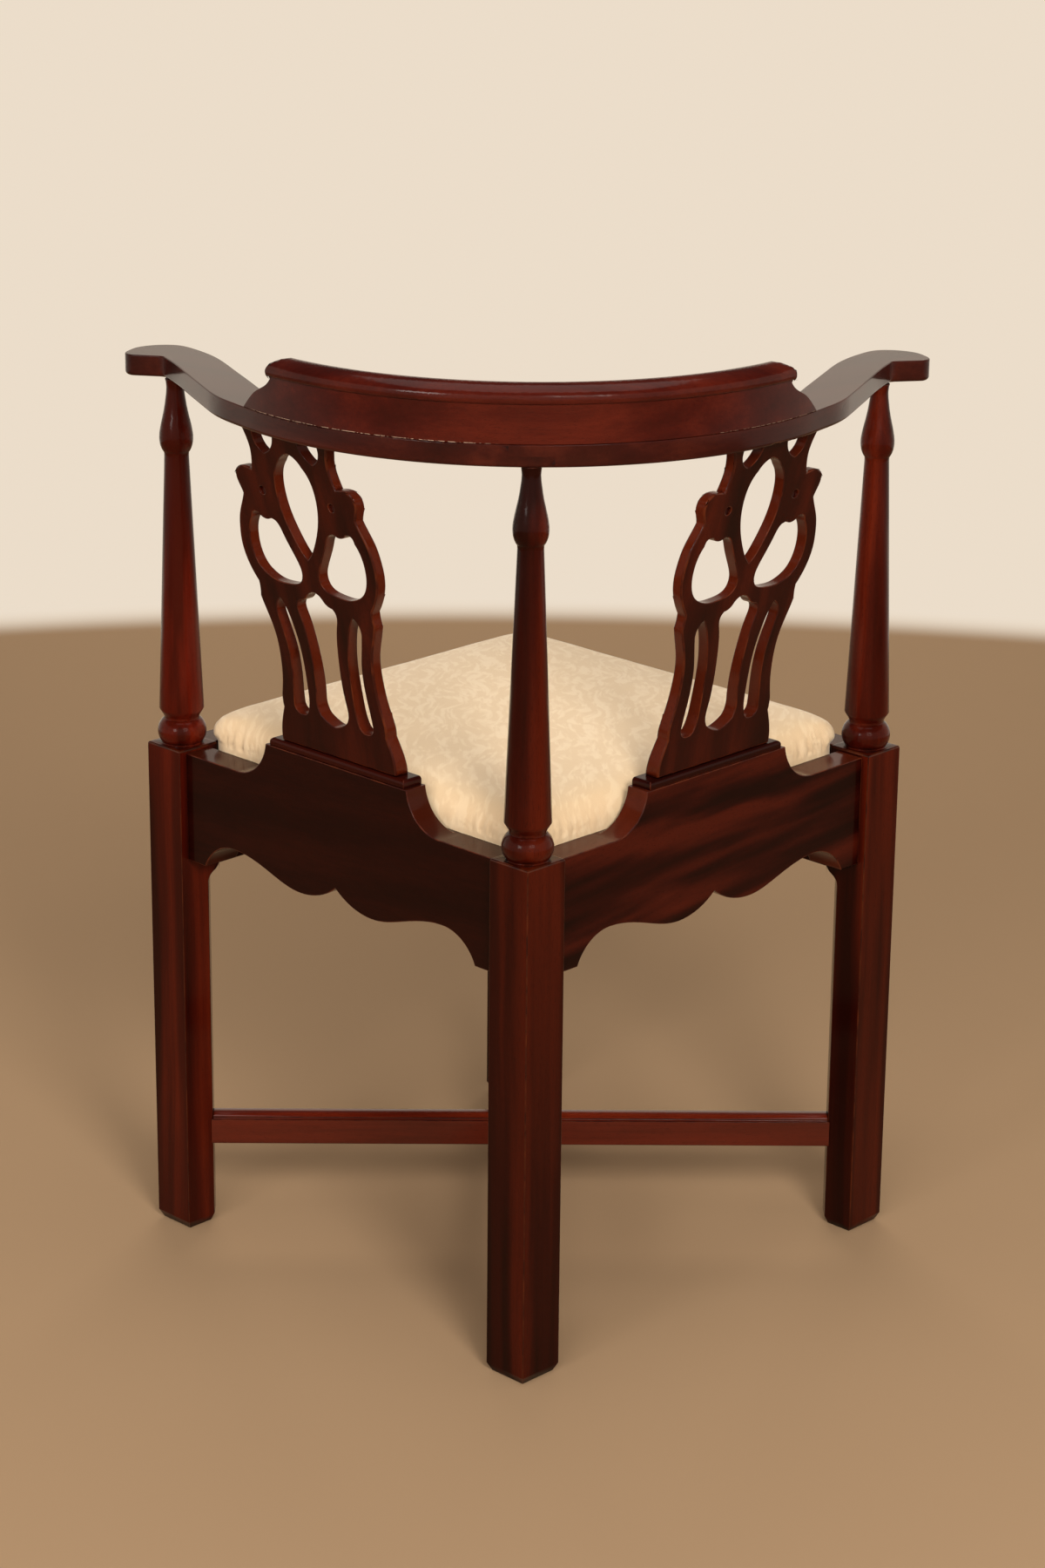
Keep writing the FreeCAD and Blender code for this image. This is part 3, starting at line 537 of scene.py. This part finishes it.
def build_back(wear_and_highlight):
    """The shoe, splat and arm of each side, and the crest on the arms."""
    for number, side in enumerate(("left", "right")):
        turn = RAIL_TURNS["back_" + side]
        shoe = wood("mahogany_shoe_" + side, scaled(SPLAT_TONE, 0.8), flat(-turn),
                    (0.9, 0.4 + number, 0.3), 0.7, shade_and_grime_reach=0.003)
        softened("shoe_" + side, shoe, "chair", FINE_ARRIS, wear_and_highlight=wear_and_highlight["splat"])
        splat = wood("mahogany_splat_" + side, SPLAT_TONE, ALONG_Z, (0.7 + number, 0.6, 0.2), 0.9,
                     board=across_board(turn), edge=4.2, shade_and_grime_reach=0.005)
        softened("splat_" + side, splat, "chair", SPLAT_ARRIS, 3, wear_and_highlight=wear_and_highlight["splat"],
                 weigh=splat_arrises)
        arm = wood("mahogany_arm_" + side, ARM_TONE, flat(ARM_TURNS[side]), (0.2, 0.9 + number, 0.5), 0.7,
                   coat_ior=ARM_COAT_IOR, clouding=0.35, shade_and_grime_reach=0.005)
        softened("arm_" + side, arm, "chair", FINE_ARRIS, wear_and_highlight=wear_and_highlight["arm"], weigh=skip_lap)
    crest = wood("mahogany_crest", CREST_TONE, flat(0), (0.35, 0.15, 0.8), 0.5, coat_ior=ARM_COAT_IOR,
                 clouding=0.25, shade_and_grime_reach=0.006, chips=CHIP_HEIGHT)
    softened("crest", crest, "chair", BEAD_ARRIS, 4, weigh=bead_arrises)


def build_stretchers(wear_and_highlight):
    for name, turn in (("stretcher_front_rear", 90), ("stretcher_side", 0)):
        finish = wood("mahogany_" + name, STRETCHER_TONE, flat(-turn), (0.15, 0.55, 0.45), 0.9,
                      coat_ior=STRETCHER_COAT_IOR, shade_and_grime_reach=0.006)
        softened(name, finish, "chair", STRETCHER_ARRIS, wear_and_highlight=wear_and_highlight["leg"])


def dress_hidden_parts():
    """Pale wood for the blocks, dowels and seat boards, and metal for the screws and tacks."""
    pale = plain_wood("pale_block", flat(20), (0.1, 0.2, 0.3))
    for corner in LEG_SHADES:
        dress("corner_block_" + corner, pale)
    dress("crest_dowels", pale)
    for side, turn in RAIL_TURNS.items():
        board = plain_wood("pale_board_" + side, flat(-turn), (0.2, 0.1 * len(side), 0.3))
        dress("seat_frame_" + side, board)
    metal = steel("screw_metal")
    dress("corner_block_screws", metal)
    dress("seat_tacks", metal)


def build_wood():
    wear_and_highlight = {}
    for part, (tone, share) in WEAR_AND_HIGHLIGHT_TONES.items():
        wear_and_highlight[part] = arris_wear_and_highlight("mahogany_" + part + "_wear_and_highlight", scaled(tone, share))
    build_legs(wear_and_highlight)
    build_rails(wear_and_highlight)
    build_back(wear_and_highlight)
    build_stretchers(wear_and_highlight)
    dress_hidden_parts()


# Seat. Everything is laid out square and turned 45 degrees, like the rails.

COVER_HALF = 0.1980
COVER_RADIUS = 0.0313
COVER_BOTTOM = 0.4358
BOARD_BOTTOM = 0.4370
BOARD_TOP = 0.4510
PAD_BOTTOM = 0.4540
OPENING_HALF = 0.1680
OPENING_RADIUS = 0.0080

# Half width, corner radius, height and number of rings: the cover's top, from the middle outwards
CROWN = ((0.0, 0.0, 0.4942, 0), (0.040, 0.031, 0.4936, 5), (0.086, 0.051, 0.4928, 6),
         (0.128, 0.051, 0.4912, 6), (0.156, 0.045, 0.4888, 5), (0.174, 0.035, 0.4857, 4),
         (0.1845, 0.025, 0.4817, 3), (0.1905, 0.0120, 0.4766, 3), (0.1950, 0.0130, 0.4698, 3),
         (0.1974, 0.0185, 0.4626, 3), (0.1979, 0.0300, 0.4578, 2),
         (COVER_HALF, COVER_RADIUS, PAD_BOTTOM, 2))
CROWN_RINGS = sum(section[3] for section in CROWN)

# Its side and turned-under edge, and then its inside, round the boards
SKIRT = ((COVER_HALF, COVER_RADIUS, 0.4372, 4), (0.1976, 0.0309, 0.4361, 1),
         (0.1966, 0.0300, COVER_BOTTOM, 1), (OPENING_HALF, OPENING_RADIUS, COVER_BOTTOM, 5),
         (OPENING_HALF, OPENING_RADIUS, BOARD_BOTTOM, 1))
LINING = ((0.19685, 0.0301, 0.43695, 5), (0.19690, 0.0302, 0.45390, 4), (0.19640, 0.0300, 0.45405, 1))

# The pad starts this much lower, up to its edge, and swells back. Its outer rings are held more and more.
PAD_LOSS = 0.0020
PAD_LOSS_REACH = 0.04
FREE_MOVE = 0.0060
MOST_GAIN = 1.6
HELD_RINGS = 6
SIM_FRAMES = 20

# Gathers in the cover's edge: where they lie, how far apart, how deep, and where they are deepest
PUCKER_BOTTOM = 0.4550
PUCKER_TOP = 0.4790
PUCKER_RISE = 0.0035
PUCKER_INSIDE = 0.16
PUCKER_PITCH = 0.0082
PUCKER_DEPTH = 0.0023
PUCKER_SWING = 2.2
PUCKER_SWING_PITCH = 0.037
PUCKER_FROM_CORNER = 0.036
PUCKER_SPREAD = 0.034
PUCKER_ELSEWHERE = 0.18


def along_ring(half, radius, share):
    """Point of a rounded square, share from -1 to 1 along one side, from corner to corner."""
    straight = half - radius
    way = abs(share) * (straight + radius * math.pi / 4)
    if way <= straight:
        x, y = way, half
    else:
        angle = (way - straight) / radius
        x, y = straight + radius * math.sin(angle), straight + radius * math.cos(angle)
    return math.copysign(x, share), y


def spread(sections):
    """The sections' rings, one after another, with a smooth curve through the sections."""
    rings = []
    for number in range(1, len(sections)):
        near = [sections[min(max(number + step, 0), len(sections) - 1)][:3] for step in (-2, -1, 0, 1)]
        for step in range(1, sections[number][3] + 1):
            t = step / sections[number][3]
            ring = []
            for before, start, end, after in zip(*near):
                gap = end - start
                first, last = (end - before) / 2, (after - start) / 2
                if gap * first <= 0:
                    first = 0
                if gap * last <= 0:
                    last = 0
                first = math.copysign(min(abs(first), 3 * abs(gap)), gap)
                last = math.copysign(min(abs(last), 3 * abs(gap)), gap)
                ring.append(start + t * first + t * t * (3 * gap - 2 * first - last)
                            + t ** 3 * (first + last - 2 * gap))
            rings.append(tuple(ring))
    return rings


def straight_rings(start, sections):
    """Rings in even steps from one section to the next."""
    rings = []
    for section in sections:
        for step in range(1, section[3] + 1):
            t = step / section[3]
            rings.append(tuple(a + (b - a) * t for a, b in zip(start, section[:3])))
        start = section[:3]
    return rings


def ring_place(ring, i, j):
    """Where grid point i, j of a ring lies, turned with the seat."""
    half, radius, height = ring
    step = max(abs(i), abs(j))
    radius = min(radius, half * 0.8)
    if j == step:
        x, y = along_ring(half, radius, i / step)
    elif i == step:
        y, x = along_ring(half, radius, -j / step)
        y = -y
    elif j == -step:
        x, y = along_ring(half, radius, -i / step)
        x, y = -x, -y
    else:
        y, x = along_ring(half, radius, j / step)
        x = -x
    return Vector(((x - y) / math.sqrt(2), (x + y) / math.sqrt(2), height))


def ring_points(steps):
    """The grid points of a square, whose rings are the squares round its middle."""
    return [(i, j) for i in range(-steps, steps + 1) for j in range(-steps, steps + 1)]


def grid_faces(steps, index):
    faces = []
    for i in range(-steps, steps):
        for j in range(-steps, steps):
            faces.append((index[i, j], index[i + 1, j], index[i + 1, j + 1], index[i, j + 1]))
    return faces


def inflated(places, faces, held):
    """The places after the cloth is blown up and settles. held says how firmly each point is held."""
    mesh = bpy.data.meshes.new("cloth_trial")
    mesh.from_pydata(places, [], faces)
    trial = bpy.data.objects.new("cloth_trial", mesh)
    bpy.context.collection.objects.link(trial)
    group = trial.vertex_groups.new(name="held")
    for number, weight in enumerate(held):
        if weight > 0:
            group.add([number], weight, "REPLACE")
    cloth = trial.modifiers.new("cloth", "CLOTH")
    settings = cloth.settings
    settings.quality = 6
    settings.mass = 0.25
    settings.tension_stiffness = 12
    settings.compression_stiffness = 6
    settings.shear_stiffness = 4
    settings.bending_stiffness = 0.15
    settings.vertex_group_mass = "held"
    settings.use_pressure = True
    settings.uniform_pressure_force = 4.0
    settings.shrink_min = -0.012
    settings.effector_weights.gravity = 0
    cloth.collision_settings.use_collision = False
    cloth.point_cache.frame_start = 1
    cloth.point_cache.frame_end = SIM_FRAMES
    scene = bpy.context.scene
    for frame_number in range(1, SIM_FRAMES + 1):
        scene.frame_set(frame_number)
    settled = trial.evaluated_get(bpy.context.evaluated_depsgraph_get())
    moved = [vertex.co.copy() for vertex in settled.data.vertices]
    bpy.data.objects.remove(trial)
    scene.frame_set(1)
    return moved


def pucker(place):
    """How far the cloth draws in at the edge, in gathers that are deepest near the corners."""
    x, y = (place.x + place.y) / math.sqrt(2), (place.y - place.x) / math.sqrt(2)
    along, across = (x, y) if abs(y) >= abs(x) else (y, x)
    if abs(across) < PUCKER_INSIDE or not PUCKER_BOTTOM < place.z < PUCKER_TOP:
        return 0.0
    rise = min(1.0, (place.z - PUCKER_BOTTOM) / PUCKER_RISE)
    fade = (PUCKER_TOP - place.z) / (PUCKER_TOP - PUCKER_BOTTOM)
    from_corner = COVER_HALF - abs(along)
    near = PUCKER_ELSEWHERE + math.exp(-((from_corner - PUCKER_FROM_CORNER) / PUCKER_SPREAD) ** 2)
    side = 1.7 * math.copysign(1, across) + (0.6 if abs(y) >= abs(x) else 2.1)
    swing = PUCKER_SWING * math.sin(along * 2 * math.pi / PUCKER_SWING_PITCH + side)
    wave = math.sin(along * 2 * math.pi / PUCKER_PITCH + swing + side)
    return PUCKER_DEPTH * rise * fade * near * (0.5 + 0.5 * wave) ** 2


def swollen(places, outside, index, rings, faces):
    """The outside's places after the pad has swelled back up to about its drawn height."""
    low = []
    held = []
    for (i, j), place in zip(outside, places):
        step = max(abs(i), abs(j))
        loss = 0
        if step < CROWN_RINGS:
            loss = PAD_LOSS * min(1.0, (COVER_HALF - rings[max(step, 1) - 1][0]) / PAD_LOSS_REACH)
        low.append(place - Vector((0, 0, loss)))
        held.append(min(1.0, max(0.0, (step - CROWN_RINGS + HELD_RINGS) / (HELD_RINGS - 1))))
    moved = inflated(low, faces, held)
    middle = index[0, 0]
    gain = min(MOST_GAIN, PAD_LOSS / max(1e-4, moved[middle].z - low[middle].z))
    settled = []
    for start, end, hold in zip(low, moved, held):
        shift = (end - start) * gain
        limit = FREE_MOVE * (1 - hold)
        if shift.length > limit:
            shift *= limit / shift.length
        settled.append(start + shift)
    return settled


def add_lining(places, faces, index, outside, steps):
    """Adds the inside of the cover, which closes the form round the boards."""
    rings = straight_rings(SKIRT[-1][:3], LINING)
    flat_steps = steps - len(rings)
    half, radius, height = rings[-1]
    for step in range(1, flat_steps):
        share = 1 - step / flat_steps
        rings.append((half * share, radius * share, height))
    inner_index = dict(index)
    for i, j in outside:
        step = max(abs(i), abs(j))
        if step < steps:
            inner_index[i, j] = len(places)
            places.append(ring_place(rings[steps - step - 1], i, j) if step else Vector((0, 0, height)))
    faces += [tuple(reversed(face)) for face in grid_faces(steps, inner_index)]


def build_cushion():
    """The damask seat: stuffing and cover in one closed form, with room for the boards inside."""
    rings = spread(CROWN)
    rings += straight_rings(CROWN[-1][:3], SKIRT)
    steps = len(rings)
    outside = ring_points(steps)
    index = {point: number for number, point in enumerate(outside)}
    places = []
    for i, j in outside:
        step = max(abs(i), abs(j))
        places.append(ring_place(rings[step - 1], i, j) if step else Vector((0, 0, CROWN[0][2])))
    faces = grid_faces(steps, index)
    places = swollen(places, outside, index, rings, faces)
    add_lining(places, faces, index, outside, steps)
    coarse = bpy.data.meshes.new("seat_cushion_coarse")
    coarse.from_pydata(places, [], faces)
    cushion = bpy.data.objects.new("seat_cushion", coarse)
    bpy.context.collection.objects.link(cushion)
    finer = cushion.modifiers.new("finer", "SUBSURF")
    finer.levels = finer.render_levels = 1
    mesh = bpy.data.meshes.new_from_object(cushion.evaluated_get(bpy.context.evaluated_depsgraph_get()))
    mesh.name = "seat_cushion"
    cushion.modifiers.clear()
    cushion.data = mesh
    for vertex in mesh.vertices:
        depth = pucker(vertex.co)
        if depth:
            vertex.co += Vector((-vertex.co.x, -vertex.co.y, 0)).normalized() * depth
    mesh.shade_smooth()
    mesh.materials.append(damask("damask_cloth"))
    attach(cushion, "slip_seat")
    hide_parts("seat_cover", "seat_pad")


# Webbing. RISE is how far a strap climbs to pass over another, RAMP how long the climb is.
STRAPS = 4
WEB_HALF_WIDTH = 0.025
WEB_REACH = 0.18555
WEB_PITCH = 0.070275
WEB_THICKNESS = 0.0009
WEB_GAP = 0.00004
WEB_RISE = 0.00104
WEB_RAMP = 0.008
WEB_STEPS_ACROSS = 6
WEB_STEPS_ALONG = 74
JUTE_WARM = (0.42, 0.30, 0.16, 1)
JUTE_COOL = (0.24, 0.16, 0.08, 1)
JUTE_PITCH = 0.0022


def strap_middle(number):
    return (number - (STRAPS - 1) / 2) * WEB_PITCH


def strap_lift(y, number, parity):
    """How much of the full rise a strap has at y, where it passes over every second strap."""
    lift = 0.0
    for crossing in range(STRAPS):
        gap = abs(y - strap_middle(crossing))
        over = (number + crossing + parity) % 2
        cover = min(1.0, max(0.0, (WEB_HALF_WIDTH + WEB_RAMP - gap) / WEB_RAMP))
        lift += over * cover * cover * (3 - 2 * cover)
    return lift


def add_strap(work, number, parity):
    """One closed strap, laid out along Y."""
    layers = []
    for side in (0, 1):
        rows = []
        for a in range(WEB_STEPS_ALONG + 1):
            y = WEB_REACH * (2 * a / WEB_STEPS_ALONG - 1)
            lift = strap_lift(y, number, parity)
            base = BOARD_TOP + WEB_GAP + lift * WEB_RISE + side * WEB_THICKNESS
            row = []
            for b in range(WEB_STEPS_ACROSS + 1):
                x = strap_middle(number) + WEB_HALF_WIDTH * (2 * b / WEB_STEPS_ACROSS - 1)
                row.append(work.verts.new((x, y, base)))
            rows.append(row)
        layers.append(rows)
    low, high = layers
    for a in range(WEB_STEPS_ALONG):
        for b in range(WEB_STEPS_ACROSS):
            work.faces.new((low[a][b], low[a + 1][b], low[a + 1][b + 1], low[a][b + 1]))
            work.faces.new((high[a][b], high[a][b + 1], high[a + 1][b + 1], high[a + 1][b]))
        for b in (0, WEB_STEPS_ACROSS):
            edge = (low[a][b], high[a][b], high[a + 1][b], low[a + 1][b])
            work.faces.new(edge if b == 0 else tuple(reversed(edge)))
    for a in (0, WEB_STEPS_ALONG):
        for b in range(WEB_STEPS_ACROSS):
            edge = (low[a][b], low[a][b + 1], high[a][b + 1], high[a][b])
            work.faces.new(edge if a == 0 else tuple(reversed(edge)))


def build_webbing():
    """Four straps each way, woven over and under each other, tacked down on the boards."""
    for name, turn, parity in (("along", 45, 0), ("across", -45, 1)):
        work = bmesh.new()
        for number in range(STRAPS):
            add_strap(work, number, parity)
        bmesh.ops.recalc_face_normals(work, faces=work.faces)
        mesh = bpy.data.meshes.new("webbing_" + name)
        work.to_mesh(mesh)
        work.free()
        mesh.transform(Matrix.Rotation(math.radians(turn), 4, "Z"))
        mesh.materials.append(woven("jute_webbing_" + name, JUTE_WARM, JUTE_COOL, JUTE_PITCH,
                                    math.radians(45), stripe=turn))
        straps = bpy.data.objects.new("webbing_" + name, mesh)
        bpy.context.collection.objects.link(straps)
        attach(straps, "slip_seat")
        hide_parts("seat_webbing_" + name)


PANEL_SHARP_ANGLE = 60


def cloth_panel(name, node, material, half, bottom, thickness, sag, steps):
    """A square of cloth stretched under or over the boards. sag is about how far its middle hangs down."""
    work = bmesh.new()
    layers = []
    for height in (bottom, bottom + thickness):
        rows = []
        for i in range(steps + 1):
            row = []
            for j in range(steps + 1):
                x, y = half * (2 * i / steps - 1), half * (2 * j / steps - 1)
                slack = (1 - (x / half) ** 4) * (1 - (y / half) ** 4)
                ripple = 0.5 + 0.5 * math.sin(x * 61 + 2.0 * math.sin(y * 37)) * math.sin(y * 53 + 1.0)
                row.append(work.verts.new((x, y, height - sag * slack * (0.6 + 0.4 * ripple))))
            rows.append(row)
        layers.append(rows)
    low, high = layers
    for i in range(steps):
        for j in range(steps):
            work.faces.new((low[i][j], low[i][j + 1], low[i + 1][j + 1], low[i + 1][j]))
            work.faces.new((high[i][j], high[i + 1][j], high[i + 1][j + 1], high[i][j + 1]))
        for j in (0, steps):
            work.faces.new((low[i][j], low[i + 1][j], high[i + 1][j], high[i][j]))
            work.faces.new((low[j][i], low[j][i + 1], high[j][i + 1], high[j][i]))
    bmesh.ops.recalc_face_normals(work, faces=work.faces)
    mesh = bpy.data.meshes.new(name)
    work.to_mesh(mesh)
    work.free()
    mesh.transform(Matrix.Rotation(math.radians(45), 4, "Z"))
    mesh.shade_smooth()
    mesh.set_sharp_from_angle(angle=math.radians(PANEL_SHARP_ANGLE))
    mesh.materials.append(material)
    panel = bpy.data.objects.new(name, mesh)
    bpy.context.collection.objects.link(panel)
    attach(panel, "slip_seat")
    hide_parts(node)


# Cloth panels: half width, underside, weave, and for the dust cover how far it sags
PANEL_THICKNESS = 0.0006
BURLAP_HALF = 0.1878
BURLAP_BOTTOM = 0.45310
BURLAP_WARM = (0.40, 0.29, 0.16, 1)
BURLAP_COOL = (0.20, 0.13, 0.07, 1)
BURLAP_PITCH = 0.0016
BURLAP_STEPS = 36
DUST_HALF = 0.1675
DUST_BOTTOM = 0.43640
DUST_WARM = (0.020, 0.020, 0.022, 1)
DUST_COOL = (0.006, 0.006, 0.007, 1)
DUST_PITCH = 0.0012
DUST_SAG = 0.0009
DUST_STEPS = 56


def build_seat():
    build_cushion()
    build_webbing()
    burlap = woven("burlap_cloth", BURLAP_WARM, BURLAP_COOL, BURLAP_PITCH)
    cloth_panel("burlap_sheet", "seat_burlap", burlap, BURLAP_HALF, BURLAP_BOTTOM,
                PANEL_THICKNESS, 0.0, BURLAP_STEPS)
    cambric = woven("black_cambric", DUST_WARM, DUST_COOL, DUST_PITCH)
    cloth_panel("dust_cover_sheet", "seat_dust_cover", cambric, DUST_HALF, DUST_BOTTOM,
                PANEL_THICKNESS, DUST_SAG, DUST_STEPS)


# Stage and light

FLOOR_TONE = (0.385, 0.258, 0.155, 1)
WALL_TONE = (0.835, 0.722, 0.590, 1)
FLOOR_MIDDLE = (0.0, 1.2)
FLOOR_RADIUS = 3.2
FLOOR_BLEND = 0.07
BOWL_RADIUS = 9.0
BOWL_HEIGHT = 6.0
BOWL_SIDES = 72


def add_stage():
    """A plain floor that turns pale outwards and rises into a pale wall all round.

    What is pale looks evenly lit to the camera and in reflections.
    """
    net = Net("stage_surface")
    light = net.add("LightPath").outputs
    seen = net.math("MAXIMUM", light["Is Camera Ray"],
                    net.math("MAXIMUM", light["Is Glossy Ray"], light["Is Transmission Ray"]))
    out = net.add("VectorMath", {0: net.add("TexCoord").outputs["Object"], 1: (*FLOOR_MIDDLE, 0)},
                  operation="DISTANCE").outputs["Value"]
    wall = net.add("MapRange", {"Value": out, "From Min": FLOOR_RADIUS - FLOOR_BLEND,
                                "From Max": FLOOR_RADIUS + FLOOR_BLEND},
                   interpolation_type="SMOOTHSTEP").outputs[0]
    base = net.mix(wall, FLOOR_TONE, WALL_TONE)
    matte = net.add("BsdfDiffuse", {"Color": base}).outputs[0]
    glow = net.add("Emission", {"Color": WALL_TONE, "Strength": 1.0}).outputs[0]
    blend = net.add("MixShader", {"Fac": net.math("MULTIPLY", seen, wall)})
    net.tree.links.new(matte, blend.inputs[1])
    net.tree.links.new(glow, blend.inputs[2])
    material = net.finish(blend.outputs[0])
    work = bmesh.new()
    rings = []
    for radius, height in ((BOWL_RADIUS, 0.0), (BOWL_RADIUS, BOWL_HEIGHT)):
        rings.append([work.verts.new((radius * math.cos(2 * math.pi * step / BOWL_SIDES),
                                      radius * math.sin(2 * math.pi * step / BOWL_SIDES), height))
                      for step in range(BOWL_SIDES)])
    work.faces.new(rings[0])
    for step in range(BOWL_SIDES):
        after = (step + 1) % BOWL_SIDES
        work.faces.new((rings[0][step], rings[1][step], rings[1][after], rings[0][after])).smooth = True
    mesh = bpy.data.meshes.new("stage")
    work.to_mesh(mesh)
    work.free()
    floor = bpy.data.objects.new("stage", mesh)
    bpy.context.collection.objects.link(floor)
    mesh.materials.append(material)


WARM = (1.0, 0.93, 0.84)
SIDE_WARM = (1.0, 0.94, 0.88)
TOP_WARM = (1.0, 0.95, 0.88)
WORLD_STRENGTH = 0.08

# Name, place, height aimed at, width and length, watts, tint, and whether it shows in reflections
LAMPS = (("key", (-0.95, 3.2, 2.2), 0.5, (0.75, 0.75), 50, WARM, False),
         ("glint", (-0.95, 3.2, 2.2), 0.5, (1.1, 1.1), 32, WARM, True),
         ("side", (2.1, 2.9, 1.8), 0.5, (0.9, 0.9), 28, SIDE_WARM, True),
         ("fill", (0.3, 4.2, 2.6), 0.45, (3.2, 2.2), 115, WARM, False),
         ("back", (0.0, -4.2, 2.6), 0.45, (3.2, 2.2), 90, WARM, False),
         ("top", (0.0, 0.2, 3.0), 0.4, (2.4, 1.8), 22, TOP_WARM, True))


def add_light(name, place, aim, size, power, tint, mirrored):
    """A soft rectangular lamp that the camera doesn't see."""
    data = bpy.data.lights.new(name, "AREA")
    data.shape = "RECTANGLE"
    data.size, data.size_y = size
    data.energy = power
    data.color = tint
    lamp = bpy.data.objects.new(name, data)
    bpy.context.collection.objects.link(lamp)
    lamp.location = place
    lamp.rotation_euler = (Vector((0, 0, aim)) - Vector(place)).to_track_quat("-Z", "Y").to_euler()
    lamp.visible_camera = False
    lamp.visible_glossy = mirrored


def add_lights():
    world = bpy.data.worlds.new("world")
    bpy.context.scene.world = world
    world.use_nodes = True
    background = world.node_tree.nodes["Background"]
    background.inputs["Color"].default_value = (*WARM, 1)
    background.inputs["Strength"].default_value = WORLD_STRENGTH
    for lamp in LAMPS:
        add_light(*lamp)


build_wood()
build_seat()
add_stage()
add_lights()
add_camera()
bpy.context.scene.view_settings.view_transform = "Standard"
